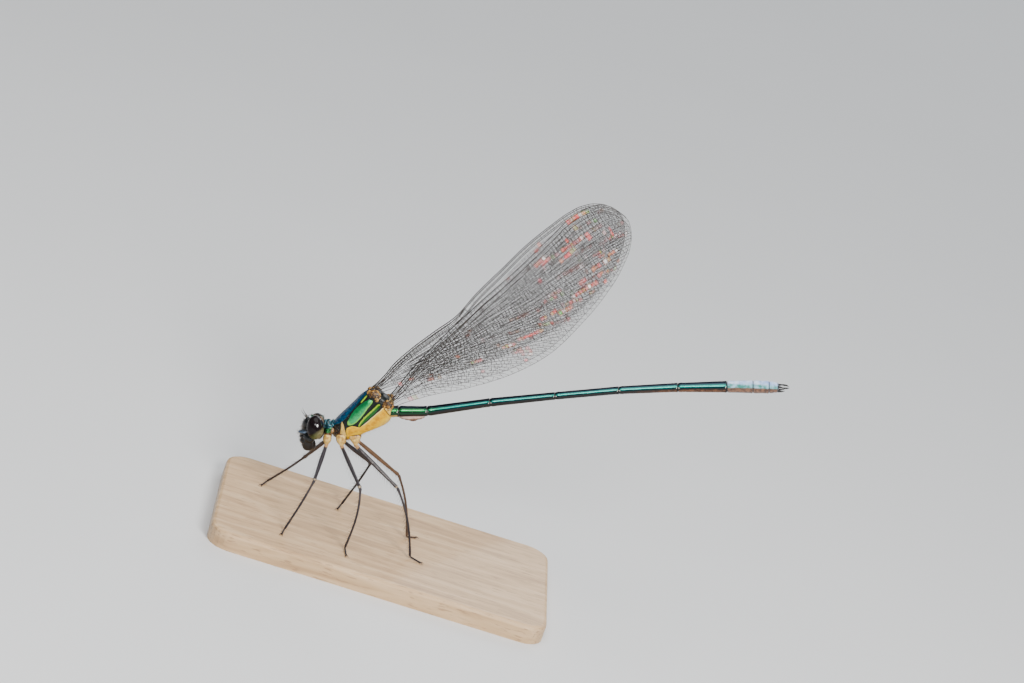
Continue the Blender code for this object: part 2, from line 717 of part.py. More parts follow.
def make_eyes():
    """Both compound eyes."""
    for side, word in ((-1, "left"), (1, "right")):
        finish(eye(side), f"eye_{word}", material(f"eye_{word}", *EYE_GLOSS))


for old in list(bpy.data.objects):
    bpy.data.objects.remove(old)
INSECT = collection("damselfly")
CUTTERS = collection("cutters")
make_base()
make_head()
make_eyes()
make_antennae(material("antenna_dark", *ANTENNA_DARK))
make_prothorax()
make_thorax()
make_abdomen()
make_tail()
make_wings()
for leg_name, leg_joints in LEGS.items():
    make_leg(leg_name, leg_joints)
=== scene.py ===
"""Looks of the life-size metalwing damselfly: skins, wings, legs, hairs, finishes and light.

Sizes are in millimetres and become metres in the meshes. The origin is the centre of the
base's underside, +Z is up, the head points to -X and the insect's left side faces -Y. In the
head's own axes a place is forward, sideways, up. A mark is a number that is stored on each
point of a piece for its finish to read.
"""
import math

import bpy
import numpy as np
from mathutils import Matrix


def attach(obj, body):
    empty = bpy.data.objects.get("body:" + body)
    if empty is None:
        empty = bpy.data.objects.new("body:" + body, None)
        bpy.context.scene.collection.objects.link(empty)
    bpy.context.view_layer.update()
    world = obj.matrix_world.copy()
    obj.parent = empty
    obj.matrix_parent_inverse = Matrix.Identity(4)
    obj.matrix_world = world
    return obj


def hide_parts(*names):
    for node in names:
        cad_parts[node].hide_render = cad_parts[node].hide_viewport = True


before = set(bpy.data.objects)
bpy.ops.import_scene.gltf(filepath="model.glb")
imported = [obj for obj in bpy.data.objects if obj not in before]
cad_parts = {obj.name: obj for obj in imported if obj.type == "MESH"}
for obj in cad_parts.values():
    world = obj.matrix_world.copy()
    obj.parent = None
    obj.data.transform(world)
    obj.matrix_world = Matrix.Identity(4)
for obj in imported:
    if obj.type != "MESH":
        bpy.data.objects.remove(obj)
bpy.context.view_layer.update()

MM = 0.001
BASE_TOP = 2.4
BODY = "root"
SIDES = ((-1, "left"), (1, "right"))
SIDEWAYS = np.array([0.0, 1.0, 0.0])
UPWARDS = np.array([0.0, 0.0, 1.0])

# The head's own axes, the eyes and the feelers
HEAD = np.array([-12.94, 0.0, 14.434])
HEAD_PITCH = math.radians(17.3)
HEAD_ROLL = math.radians(15.5)     # the right eye hangs lower than the left one
HEAD_MIDDLE = (0.55, 0.0, -0.75)
EYE_SIDE = 1.77
EYE_LEVEL = -0.08
EYE_RADII = (1.12, 1.14, 1.53)
ANTENNA_FOOT = np.array([1.04, 0.62, 0.96])
ANTENNA_TIP = np.array([1.85, 1.20, 2.10])

# Lobes of the head: name, centre, radii; a sideways place above zero stands on both sides
HEAD_LOBES = (
    ("skull", (0.10, 0.0, -0.10), (1.10, 1.93, 1.40)),
    ("nape", (-0.42, 0.0, -0.45), (0.60, 1.72, 1.28)),
    ("temple", (-0.62, 1.10, 0.25), (0.42, 0.95, 1.05)),
    ("vertex", (0.62, 0.34, 1.04), (0.42, 0.34, 0.33)),
    ("brow", (0.92, 0.0, 0.30), (0.86, 1.16, 0.72)),
    ("brow", (1.00, 0.60, 0.62), (0.42, 0.36, 0.42)),
    ("face", (1.00, 0.0, -0.36), (0.80, 1.10, 0.56)),
    ("socket", (1.08, 0.62, 0.94), (0.20, 0.20, 0.20)),
    ("shelf", (1.46, 0.0, -0.80), (0.86, 1.16, 0.32)),
    ("underface", (1.34, 0.0, -1.34), (0.80, 0.95, 0.34)),
    ("lip", (1.42, 0.0, -1.90), (0.66, 0.90, 0.42)),
    ("cheek", (0.78, 0.98, -1.40), (0.74, 0.52, 0.70)),
    ("jaw", (1.00, 0.62, -2.18), (0.70, 0.42, 0.60)),
    ("jaw", (1.34, 0.30, -2.42), (0.46, 0.36, 0.34)),
    ("chin", (0.78, 0.0, -2.48), (0.80, 0.62, 0.74)),
    ("palp", (0.98, 0.52, -2.70), (0.64, 0.30, 0.44)),
)
OCELLI = ((0.98, 0.0, 1.08), (0.78, 0.58, 1.15), (0.78, -0.58, 1.15))
OCELLUS_RADIUS = 0.17

# Lobes of the prothorax, in the world's axes
COLLAR_LOBES = (
    ("neck", (-12.25, 0.0, 14.62), (0.80, 0.46, 0.50)),
    ("front", (-12.02, 0.0, 14.98), (0.24, 0.66, 0.66)),
    ("middle", (-11.58, 0.0, 15.10), (0.44, 0.80, 0.66)),
    ("middle", (-11.66, 0.36, 15.36), (0.28, 0.30, 0.30)),
    ("middle", (-11.42, 0.66, 15.10), (0.30, 0.26, 0.34)),
    ("hind", (-11.12, 0.0, 15.40), (0.20, 0.76, 0.56)),
    ("hind", (-11.00, 0.52, 15.36), (0.24, 0.30, 0.30)),
    ("side", (-11.40, 0.74, 14.50), (0.30, 0.34, 0.36)),
    ("side", (-11.10, 0.80, 14.76), (0.28, 0.30, 0.36)),
    ("amber", (-10.86, 0.90, 14.80), (0.24, 0.28, 0.34)),
    ("breast", (-11.40, 0.0, 14.50), (0.56, 0.86, 0.66)),
    ("bridge", (-10.95, 0.0, 14.85), (0.60, 0.76, 0.80)),
)

# Plates, pale knobs and dark skin of the wing bases: kind, centre and radii on the right side
HINGE_LOBES = {
    "fore": (("plate", (-7.95, .60, 21.05), (.32, .30, .36)),
             ("plate", (-7.56, .74, 21.34), (.26, .26, .26)),
             ("plate", (-7.10, .74, 21.46), (.27, .26, .26)),
             ("plate", (-6.74, .84, 21.14), (.26, .28, .32)),
             ("plate", (-7.28, 1.00, 20.92), (.30, .24, .27)),
             ("plate", (-6.84, 1.10, 20.56), (.34, .26, .30)),
             ("plate", (-7.70, .92, 20.78), (.24, .24, .30)),
             ("knob", (-7.00, 1.12, 21.02), (.13, .12, .15)),
             ("knob", (-7.50, 1.02, 21.10), (.11, .10, .12)),
             ("knob", (-6.50, .98, 20.86), (.16, .14, .20)),
             ("skin", (-7.25, .80, 20.95), (.74, .40, .52))),
    "hind": (("plate", (-5.92, .98, 20.46), (.30, .28, .30)),
             ("plate", (-5.48, 1.12, 20.76), (.26, .25, .26)),
             ("plate", (-5.02, 1.14, 20.84), (.26, .26, .26)),
             ("plate", (-4.76, 1.14, 20.44), (.24, .27, .32)),
             ("plate", (-5.24, 1.34, 20.34), (.30, .22, .27)),
             ("plate", (-5.68, 1.30, 20.18), (.26, .23, .26)),
             ("knob", (-4.98, 1.30, 20.08), (.18, .18, .22)),
             ("knob", (-5.36, 1.38, 20.62), (.11, .10, .12)),
             ("skin", (-5.32, 1.10, 20.45), (.70, .36, .46))),
}

# Synthorax: level, front, back and half width of its cross sections
THORAX = np.array([
    (13.95, -10.55, -8.60, 0.55), (14.35, -10.98, -7.95, 0.98), (14.90, -11.14, -7.40, 1.26),
    (15.60, -11.05, -6.85, 1.45), (16.50, -10.70, -5.85, 1.58), (17.50, -10.20, -4.80, 1.66),
    (18.35, -9.78, -4.32, 1.66), (19.10, -9.40, -4.40, 1.60), (19.85, -9.06, -4.50, 1.50),
    (20.50, -8.70, -4.62, 1.34), (21.00, -8.30, -5.30, 1.12), (21.35, -7.80, -6.20, 0.72)])
THORAX_SQUARENESS = 0.80
THORAX_ROWS, THORAX_COLUMNS = 150, 168
THORAX_BEYOND, THORAX_DRAWN_IN = 0.14, 0.30    # height and inset of its rounded ends

# The thorax's own side axes: along its slope from the legs to the wings, and across it from
# front to back. A seam gives where it lies across at a place along.
SLOPE = math.radians(66.0)
SLOPE_COS, SLOPE_SIN = math.cos(SLOPE), math.sin(SLOPE)
SLOPE_FOOT = (-9.0, 14.0)
SEAMS = {
    "shoulder": ((0.0, -2.60), (0.9, -2.20), (1.5, -1.98), (2.45, -1.92), (3.8, -2.02),
                 (5.14, -2.07), (7.6, -2.10)),
    "oval_front": ((2.05, -1.25), (2.3, -1.50), (3.06, -1.72), (3.98, -1.87), (4.88, -1.84),
                   (5.78, -1.68), (6.35, -1.42), (6.55, -1.06)),
    "oval_back": ((2.05, -1.22), (2.2, -1.0), (2.53, -0.80), (3.07, -0.68), (3.83, -0.68),
                  (4.74, -0.76), (5.31, -0.86), (5.91, -0.88), (6.35, -0.90), (6.55, -1.05)),
    "stripe_front": ((2.80, -0.06), (3.0, -0.22), (3.3, -0.32), (4.2, -0.42), (4.9, -0.38),
                     (5.7, -0.32), (6.6, -0.26), (6.85, -0.08)),
    "stripe_back": ((2.80, -0.04), (3.67, 0.05), (4.57, 0.14), (5.47, 0.22), (6.54, 0.16),
                    (6.85, -0.06)),
    "flank": ((0.4, -0.10), (0.85, -0.42), (1.2, -0.80), (1.64, -1.05), (2.0, -0.93),
              (2.32, -0.76), (2.63, -0.24), (2.81, 0.06), (3.36, 0.15), (4.06, 0.24),
              (4.86, 0.29), (5.56, 0.37), (6.26, 0.47), (8.0, 0.55)),
    "wedge_front": ((0.0, -0.95), (0.52, -1.14), (1.02, -1.47), (1.47, -1.84), (1.80, -2.00)),
    "wedge_back": ((0.0, 0.40), (0.52, -0.02), (0.91, -0.52), (1.30, -1.10), (1.68, -1.62),
                   (1.80, -1.90)),
}
REAR_SEAM = (6.95, 0.30)   # place along where across is zero, and its fall for each mm across

# Abdomen: length, upward pitch in degrees, half height and half width at the far end
ABDOMEN_START = (-4.76, 0.0, 19.21)
ABDOMEN_START_HALF = (0.82, 0.84)
ABDOMEN = np.array([
    (1.20, 21.0, 0.76, 0.80), (3.61, 18.9, 0.70, 0.74), (7.99, 27.3, 0.60, 0.64),
    (8.23, 24.9, 0.54, 0.58), (8.02, 24.2, 0.55, 0.58), (7.41, 21.7, 0.64, 0.66),
    (6.14, 19.7, 0.80, 0.80), (3.25, 18.3, 0.88, 0.86), (2.01, 17.6, 0.85, 0.84),
    (1.11, 15.2, 0.66, 0.70)])
ABDOMEN_INSET = 0.03
RING_STEP = 0.22       # distance between the abdomen's rings, which are closer at its joints
BEND_REACH = 0.9       # how far to each side the bend of a joint is blurred
TAIL_FROM = 8          # first segment of the pale tail tip

# Wings: root, direction in degrees, length, distance from the middle at root and beyond
WINGS = {
    "forewing": ((-7.16, 21.60), 53.0, 38.1, 0.60, 0.36),
    "hindwing": ((-4.96, 20.62), 54.0, 37.8, 1.30, 1.12),
}
# Distance of the edges from the wing's own axis, by share of its length
LEADS = {
    "forewing": ((-.014, .40), (0, .45), (.04, .75), (.09, 1.35), (.15, 1.75), (.27, 2.10),
                 (.36, 2.25), (.45, 3.20), (.58, 4.20), (.67, 4.90), (.79, 5.42), (.86, 5.55),
                 (.915, 5.30), (.955, 4.60), (.985, 3.40), (1, 2.10)),
    "hindwing": ((-.014, .38), (0, .42), (.05, .90), (.12, 1.70), (.22, 2.60), (.33, 3.30),
                 (.44, 3.94), (.60, 4.75), (.76, 5.82), (.86, 6.45), (.92, 6.20), (.965, 5.45),
                 (.99, 4.00), (1, 2.70)),
}
TRAILS = {
    "forewing": ((-.014, -.42), (0, -.48), (.10, -1.50), (.20, -2.90), (.30, -4.20),
                 (.42, -5.20), (.55, -5.85), (.65, -5.80), (.75, -5.20), (.85, -3.95),
                 (.93, -2.20), (.97, -.80), (.99, .35), (1, 1.30)),
    "hindwing": ((-.014, -.40), (0, -.45), (.11, -1.64), (.25, -3.88), (.40, -5.55),
                 (.54, -6.00), (.67, -5.14), (.79, -3.85), (.90, -1.98), (.97, -.04),
                 (.99, .90), (1, 1.90)),
}
WING_FROM = -0.014     # share of the length where veins and film spring from the hinge
# Shares of the length where the main veins would meet the hind edge, and where they begin
MAIN_VEINS = (1.42, 1.16, 1.01, 0.90, 0.80, 0.70, 0.60, 0.49, 0.38, 0.28, 0.19)
VEIN_STARTS = (WING_FROM, 0.13, 0.13, 0.20, 0.16, 0.13, WING_FROM, 0.10, 0.12, WING_FROM, 0.05)
NODUS = 0.41
VEIN_CURVE = 0.66
WIDEST_GAP = 0.62
NO_END = 1e6
SHORTEST_VEIN = 0.018
CROSS_SPACING = 0.46
VEIN_RADII = (0.035, 0.027, 0.024, 0.023, 0.022)    # by rank, finer ones later
RUNG_RADIUS = 0.022
# Distance of the radius and subcosta veins behind the leading edge, by share of the length
RADIUS_AWAY = ((0, .26), (.08, .52), (.2, .66), (.41, .62), (.7, .52), (.92, .44), (1, .26))
SUBCOSTA_AWAY = ((0, .13), (.08, .28), (.2, .33), (.34, .24), (.41, .0), (1, .0))
LEVEL_FROM, LEVEL_SHARE = 0.86, 0.55   # where, and how much, veins keep on past the round tip
STRAIGHT_FROM = 0.72
PLEAT = 0.10
MEMBRANE = 0.024
# Painted glints of single wing cells
WIDEST_PAINTED_GLINT = 0.85    # longest side of a cell that gleams
FAINTEST_PAINTED_GLINT = 0.20
FILM_COVER = 0.045     # how much each face of the film hides

# Legs: top of the coxa, hip, knee, ankle, toe, and how far the shin bows towards the tail
LEGS = {
    "fore_left": ((-11.30, -.78, 14.30), (-11.00, -.95, 12.75), (-11.25, -5.40, 9.41),
                  (-12.93, -7.21), (-13.15, -8.60), .10),
    "fore_right": ((-11.30, .78, 14.30), (-11.00, .95, 12.75), (-12.87, 4.05, 8.28),
                   (-16.36, 6.15), (-16.95, 4.75), .10),
    "middle_left": ((-9.75, -.85, 14.90), (-9.13, -.98, 13.20), (-5.59, -6.80, 10.85),
                    (-5.00, -7.13), (-4.62, -9.00), .45),
    "middle_right": ((-9.75, .85, 14.90), (-9.13, .98, 13.20), (-4.53, 5.20, 9.76),
                     (-6.31, 6.27), (-6.70, 4.75), .10),
    "hind_left": ((-8.05, -.88, 15.30), (-7.47, -.98, 13.86), (-.89, -2.40, 10.66),
                  (3.43, -3.60), (4.93, -4.10), .60),
    "hind_right": ((-8.05, .88, 15.30), (-7.47, .98, 13.86), (-.90, 2.30, 10.50),
                   (2.72, 2.33), (3.97, 3.42), .50),
}
ANKLE_LEVEL, TOE_LEVEL = BASE_TOP + 0.30, BASE_TOP + 0.12
WARM_LEGS = {"hind_right": 1.0, "fore_right": 0.35}    # how brown a leg is, the rest being 0

# Half widths of a coxa along its way to the hip, front to back, by pair of legs, and sideways
COXA_LENGTHWISE = {
    "fore": ((0, .26), (.10, .42), (.40, .53), (.66, .50), (.83, .34), (.94, .21), (1, .19)),
    "middle": ((0, .34), (.10, .54), (.40, .67), (.66, .60), (.83, .38), (.94, .22), (1, .19)),
    "hind": ((0, .50), (.10, .76), (.28, .80), (.50, .64), (.74, .40), (.92, .25), (1, .19)),
}
COXA_SIDEWAYS = ((0, .22), (.10, .40), (.38, .57), (.64, .53), (.82, .36), (.94, .23), (1, .19))
# Radii by share of the way along a leg's parts
HIP_JOINT = ((0, .14), (.18, .24), (.38, .255), (.5, .225), (.60, .25), (.85, .23), (1, .17))
THIGH = ((0, .17), (.06, .20), (.3, .265), (.7, .235), (.9, .205), (.96, .235), (.99, .22),
         (1, .12))
SHIN = ((0, .12), (.015, .19), (.05, .165), (.3, .150), (.8, .135), (.96, .145), (.99, .13),
        (1, .06))
FOOT_JOINT = ((0, .05), (.12, .10), (.5, .095), (.85, .115), (1, .05))
CLAW = ((0, .06), (.5, .042), (1, .008))
LEG_SIDES = 14
FOOT_PARTS = (0.24, 0.58)      # share of the foot where one joint of it ends and the next begins
# Spines and hairs of thigh and shin: the row's side of the leg, which is 0 for hairs all
# round, distance apart, length, and radius at the root
SPINE_ROWS = ((-1, 0.42, 0.92, 0.021), (1, 0.42, 0.92, 0.021), (0, 0.045, 0.20, 0.0075))
SPINE_TURN, SPINE_LEAN, HAIR_LEAN = (math.radians(angle) for angle in (34.0, 50.0, 38.0))
SPINE_FEET = (0.16, 0.104)     # how far from the middle of thigh and shin they spring

HAIR_SUNK = 0.03       # how far a hair's root lies inside the skin
ODD_WAY = (0.31, 0.67, 0.59)   # a way that no hair runs, from which its rings are turned
PATCH = 0.003          # side of a hair's or vein's own patch on the bake's map

# The photo's view
LOOK_AT = np.array([6.890, 0.0, 33.078])
VIEW_TURN = math.radians(-5.5)
VIEW_TILT = math.radians(19.0)
VIEW_ROLL = math.radians(19.5)
VIEW_AWAY = 455.0
LENS = 127.97


class Field:
    """A value that varies over a surface: one node's output, with arithmetic on it."""

    def __init__(self, finish, socket):
        self.finish = finish
        self.socket = socket

    def math(self, operation, *values):
        """The values through one Math node."""
        return self.finish.node("Math", {"operation": operation}, dict(enumerate(values)))

    def __add__(self, other):
        return self.math("ADD", self, other)

    def __sub__(self, other):
        return self.math("SUBTRACT", self, other)

    def __rsub__(self, other):
        return self.math("SUBTRACT", other, self)

    def __mul__(self, other):
        return self.math("MULTIPLY", self, other)

    __radd__ = __add__
    __rmul__ = __mul__

    def __abs__(self):
        return self.math("ABSOLUTE", self)

    def most(self, other):
        """The larger of two values."""
        return self.math("MAXIMUM", self, other)

    def rise(self, low, high):
        """0 up to low, 1 from high, and a smooth step between; it falls if low is above high."""
        if low > high:
            return 1.0 - self.rise(high, low)
        return self.finish.node("MapRange", {"interpolation_type": "SMOOTHSTEP"},
                                {0: self, 1: low, 2: high, 3: 0.0, 4: 1.0})

    def band(self, low, high, soft):
        """1 between two values and 0 outside them, with soft edges."""
        return self.rise(low - soft, low + soft) * self.rise(high + soft, high - soft)


class Finish:
    """One material: its nodes are added here and give fields to calculate with."""

    def __init__(self, name):
        self.material = bpy.data.materials.new(name)
        self.material.use_nodes = True
        self.tree = self.material.node_tree
        self.shader = self.tree.nodes["Principled BSDF"]
        self.place = self.node("TexCoord", output="Object")

    def node(self, kind, settings=None, inputs=None, output=0):
        """Add a node, set it, then give its sockets their values or links."""
        made = self.tree.nodes.new("ShaderNode" + kind)
        for key, value in (settings or {}).items():
            if key == "stops":
                self.set_stops(made.color_ramp, value)
            else:
                setattr(made, key, value)
        self.fill(made, inputs or {})
        return Field(self, made.outputs[output])

    def fill(self, node, inputs):
        """Give a node's sockets their values or links."""
        for key, value in inputs.items():
            socket = node.inputs[key]
            if isinstance(value, Field):
                self.tree.links.new(value.socket, socket)
            elif socket.type == "RGBA":
                socket.default_value = (*value, 1.0)
            else:
                socket.default_value = value

    @staticmethod
    def set_stops(ramp, stops):
        """Give a ramp its places and colours."""
        while len(ramp.elements) > 1:
            ramp.elements.remove(ramp.elements[0])
        for k, (place, colour) in enumerate(stops):
            element = ramp.elements[0] if k == 0 else ramp.elements.new(place)
            element.position = place
            element.color = (*colour, 1.0)

    def axis(self, k):
        """One of the object coordinates, in millimetres."""
        return self.node("SeparateXYZ", inputs={0: self.place}, output=k) * (1 / MM)

    def mark(self, name):
        """A number stored on the piece's points."""
        return self.node("Attribute", {"attribute_name": name}, output="Fac")

    def marks(self, *names):
        """Several marks."""
        return [self.mark(name) for name in names]

    def noise(self, size, detail=2.0):
        """Clouds whose blots are about this wide in millimetres."""
        return self.node("TexNoise", {}, {"Vector": self.place, "Scale": 1 / (size * MM),
                                          "Detail": detail}, "Fac")

    def cells(self, size):
        """Random cells about this wide in millimetres: the distance from their middles."""
        return self.node("TexVoronoi", {}, {"Vector": self.place, "Scale": 1 / (size * MM)},
                         "Distance")

    def ramp(self, value, stops):
        """Colour for a value from 0 to 1."""
        return self.node("ValToRGB", {"stops": stops}, {0: value})

    def bent(self, value, points, lowest, highest):
        """Straight pieces through the points, as the value at another field's value."""
        first, last = points[0][0], points[-1][0]
        stops = [((a - first) / (last - first), ((b - lowest) / (highest - lowest),) * 3)
                 for a, b in points]
        share = self.node("MapRange", {}, {0: value, 1: first, 2: last, 3: 0.0, 4: 1.0})
        return self.ramp(share, stops) * (highest - lowest) + lowest

    def blend(self, mask, under, over):
        """Colour that goes from one to another with a mask."""
        return self.node("Mix", {"data_type": "RGBA"}, {0: mask, 6: under, 7: over}, 2)

    def bump(self, height, deep, under=None):
        """Normal from a height of 0 to 1 that is this deep in millimetres."""
        inputs = {"Height": height, "Distance": deep * MM}
        if under is not None:
            inputs["Normal"] = under
        return self.node("Bump", {}, inputs, "Normal")

    def paint(self, **sockets):
        """Set the shader's sockets; a double underscore stands for a space."""
        self.fill(self.shader, {key.replace("__", " "): v for key, v in sockets.items()})
        return self.material


def unit(vectors):
    """Vectors of length one."""
    return vectors / np.maximum(np.linalg.norm(vectors, axis=-1, keepdims=True), 1e-12)


def smooth_step(values, low, high):
    """0 up to low, 1 from high, with 3x^2 - 2x^3 between them; it falls if low is above high."""
    share = np.clip((values - low) / (high - low), 0, 1)
    return share**2 * (3 - 2 * share)


def hump(values, middle, width):
    """Bell curve: 1 at the middle, falling as exp(-(distance / width)^2)."""
    return np.exp(-((values - middle) / width)**2)


def straight(points, at):
    """Straight pieces through points."""
    return np.interp(at, *np.transpose(points))


def through(points, at):
    """Smooth curve through points: cubic pieces with the slope of their neighbours."""
    points = np.asarray(points, float)
    x, y = points[:, 0], points[:, 1:]
    slope = np.gradient(y, x, axis=0)
    at = np.clip(at, x[0], x[-1])
    k = np.clip(np.searchsorted(x, at) - 1, 0, len(x) - 2)
    step = (x[k + 1] - x[k])[..., None]
    u = (at - x[k])[..., None] / step
    value = (2 * u**3 - 3 * u**2 + 1) * y[k] + (3 * u**2 - 2 * u**3) * y[k + 1]
    value = value + step * ((u**3 - 2 * u**2 + u) * slope[k] + (u**3 - u**2) * slope[k + 1])
    return value[..., 0] if points.shape[1] == 2 else value


def tube_faces(steps, sides):
    """Corners of a tube's faces: quads between rings, and fans round the two last points."""
    ring = np.arange(sides)
    following = (ring + 1) % sides
    low = np.arange(steps - 1)[:, None] * sides
    quads = np.stack([low + ring, low + following, low + sides + following, low + sides + ring], -1)
    first, end = steps * sides, (steps - 1) * sides
    fans = np.concatenate([
        np.stack([np.full(sides, first), following, ring], -1),
        np.stack([np.full(sides, first + 1), end + ring, end + following], -1)])
    return quads.reshape(-1, 4), fans


def rods(paths, radii, sides, reference=(0.0, 1.0, 0.3)):
    """Closed tubes along many paths at once: each ring is a circle square to its path, and a
    fan of triangles closes both ends. Paths are tubes by points by 3, radii tubes by points."""
    paths = np.asarray(paths, float)
    radii = np.broadcast_to(np.asarray(radii, float), paths.shape[:2])
    way = unit(np.gradient(paths, axis=1))
    side = unit(np.cross(way, np.asarray(reference, float)))
    other = np.cross(way, side)
    angle = (2 * np.pi * (np.arange(sides) + 0.5) / sides)[:, None]
    ring = np.cos(angle) * side[:, :, None] + np.sin(angle) * other[:, :, None]
    points = paths[:, :, None] + radii[..., None, None] * ring
    count, steps = paths.shape[:2]
    points = np.concatenate([points.reshape(count, -1, 3), paths[:, :1], paths[:, -1:]], 1)
    shift = (np.arange(count) * points.shape[1])[:, None, None]
    return points.reshape(-1, 3), [(block + shift).reshape(-1, block.shape[1])
                                   for block in tube_faces(steps, sides)]


def skin(rings):
    """Closed skin over rows of points, each row a closed ring, turned so that faces look out."""
    rows, columns = rings.shape[:2]
    points = np.concatenate([rings.reshape(-1, 3), rings[:1].mean(1), rings[-1:].mean(1)])
    faces = list(tube_faces(rows, columns))
    corners = points[np.concatenate([faces[0][:, :3], faces[0][:, [0, 2, 3]], faces[1]])]
    volume = np.einsum("ij,ij->", corners[:, 0], np.cross(corners[:, 1], corners[:, 2]))
    if volume < 0:
        faces = [block[:, ::-1] for block in faces]
    return points, faces


def capped(values):
    """Numbers of a skin's rows and columns as one for each point, with the two end points."""
    values = np.asarray(values)
    return np.concatenate([values.ravel(), [values[0].mean(), values[-1].mean()]])


def joined(parts):
    """Several sets of points and faces as one."""
    points, blocks, start = [], [], 0
    for part_points, part_faces in parts:
        points.append(part_points)
        blocks += [block + start for block in part_faces]
        start += len(part_points)
    return np.concatenate(points), blocks


def added(made):
    """An object with its data, put into the scene."""
    bpy.context.scene.collection.objects.link(made)
    return made


def piece(name, shape, finish, nodes=(), marks=None, bake=None):
    """Object from points and faces, with marks for its finish, the places of its points on the
    bake's map, and the nodes that it stands for."""
    points, faces = shape
    mesh = bpy.data.meshes.new(name)
    corners = np.concatenate([block.ravel() for block in faces]).astype(np.int32)
    sizes = np.concatenate([np.full(len(block), block.shape[1]) for block in faces])
    mesh.vertices.add(len(points))
    mesh.vertices.foreach_set("co", (points * MM).astype(np.float32).ravel())
    mesh.loops.add(len(corners))
    mesh.loops.foreach_set("vertex_index", corners)
    mesh.polygons.add(len(sizes))
    mesh.polygons.foreach_set("loop_start", (np.cumsum(sizes) - sizes).astype(np.int32))
    mesh.update(calc_edges=True)
    mesh.validate()
    mesh.shade_smooth()
    for key, values in (marks or {}).items():
        numbers = mesh.attributes.new(key, "FLOAT", "POINT").data
        numbers.foreach_set("value", values.astype(np.float32))
    if bake is not None:
        layer = mesh.uv_layers.new(name="OFBake")
        layer.data.foreach_set("uv", bake[corners].astype(np.float32).ravel())
    mesh.materials.append(finish)
    made = added(bpy.data.objects.new(name, mesh))
    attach(made, BODY)
    if nodes:
        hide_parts(*nodes)


def sphere_grid(rows, columns):
    """Directions on a sphere, in rings from one sideways pole to the other."""
    polar = np.pi * (np.arange(rows) + 0.5)[:, None] / rows
    turn = 2 * np.pi * np.arange(columns)[None, :] / columns
    return np.stack([np.cos(turn) * np.sin(polar), np.cos(polar) + 0 * turn,
                     np.sin(turn) * np.sin(polar)], -1)


def both_sides(lobes):
    """Lobes with a mirror image of each one that stands off the middle."""
    full = []
    for name, centre, radii in lobes:
        full.append((name, centre, radii))
        if centre[1]:
            full.append((name, (centre[0], -centre[1], centre[2]), radii))
    return full


def lobe_depths(places, lobes):
    """Distance outside each ellipsoid, about |p| (|p| - 1) / |p / r| with p = place / radii."""
    depths = []
    for _name, centre, radii in lobes:
        p = (places - np.array(centre)) / np.array(radii)
        size = np.linalg.norm(p, axis=-1)
        steep = np.linalg.norm(p / np.array(radii), axis=-1)
        depths.append(size * (size - 1) / np.maximum(steep, 1e-9))
    return np.stack(depths)


def lobed_skin(middle, lobes, rows, columns, blend, reach=4.5, steps=110, halvings=14):
    """Skin over overlapping ellipsoids, seen from a point inside: along each direction it is
    the outermost place where the soft least distance, -log(sum exp(-k d)) / k, is zero. The
    poles point sideways. Also gives each lobe's share of the skin at each point, and how near
    it is to a seam between two lobes."""
    middle = np.array(middle)
    ways = sphere_grid(rows, columns)

    def outside(distance):
        """Soft least distance outside the lobes at this distance along each direction."""
        depth = lobe_depths(middle + ways * distance[..., None], lobes)
        return -np.log(np.exp(-np.clip(depth * blend, -60, 60)).sum(0)) / blend

    near = np.zeros(ways.shape[:2])
    for k in range(steps):
        distance = reach * (1 - k / steps) * np.ones_like(near)
        near = np.where((near == 0) & (outside(distance) < 0), distance, near)
    low, high = near, near + reach / steps
    for _k in range(halvings):
        half = (low + high) / 2
        inside = outside(half) < 0
        low, high = np.where(inside, half, low), np.where(inside, high, half)
    places = middle + ways * low[..., None]
    weight = np.exp(-np.clip(lobe_depths(places, lobes) * blend, -30, 30))
    weight = weight / weight.sum(0)
    ranked = np.sort(weight, 0)
    shares = {"seam": 1 - (ranked[-1] - ranked[-2])}
    for (name, _centre, _radii), share in zip(lobes, weight):
        shares[name] = shares.get(name, 0) + share
    return places, shares


def grid_normals(rings):
    """Outward normal at each point of a grid of closed rings."""
    across = np.roll(rings, -1, 1) - np.roll(rings, 1, 1)
    along = np.gradient(rings, axis=0)
    normal = unit(np.cross(across, along))
    outward = rings - rings.mean((0, 1))
    return normal * np.sign((normal * outward).sum())


def sprout(rings, normals, weight, count, draw, spread, lean=(0, 0, 0), stand=1.0):
    """Where hairs grow: random points of a skin, taken with the weight given, the way of each,
    which is stand times its normal plus lean plus a random drift, and its spot on the skin's
    unwrap."""
    rows, columns = rings.shape[:2]
    chance = (weight / weight.sum()).ravel()
    chosen = draw.choice(len(chance), count, p=chance, replace=False)
    normal = normals.reshape(-1, 3)[chosen]
    ways = unit(normal * stand + draw.normal(0, spread, (count, 3)) + np.array(lean))
    across, along = np.meshgrid(np.arange(columns) / columns, np.arange(rows) / (rows - 1))
    spots = np.stack([across, along], -1).reshape(-1, 2)[chosen]
    return rings.reshape(-1, 3)[chosen] - normal * HAIR_SUNK, ways, spots


def hairs(roots, ways, lengths, thick, droop, spots, sides=3, steps=4):
    """Thin bristles: each runs from its root along its way and bends by droop times the square
    of the way along; its radius falls in a straight line to a fine tip. Each takes its own
    patch at its root's spot on the bake's map. Gives the shape and that map."""
    share = np.linspace(0, 1, steps)[None, :, None]
    bend = ways[:, None] * share + droop[:, None] * share**2
    paths = roots[:, None] + bend * lengths[:, None, None]
    radii = np.asarray(thick)[..., None] * (1.02 - share[..., 0])
    patch = np.stack([np.tile(np.arange(sides) / (sides - 1), steps),
                      np.repeat(np.arange(steps) / (steps - 1), sides)], -1)
    patch = np.concatenate([patch, [[0.5, 0.0], [0.5, 1.0]]]) * PATCH
    bake = (spots[:, None] * (1 - PATCH) + patch[None]).reshape(-1, 2)
    return rods(paths, radii, sides, ODD_WAY), bake


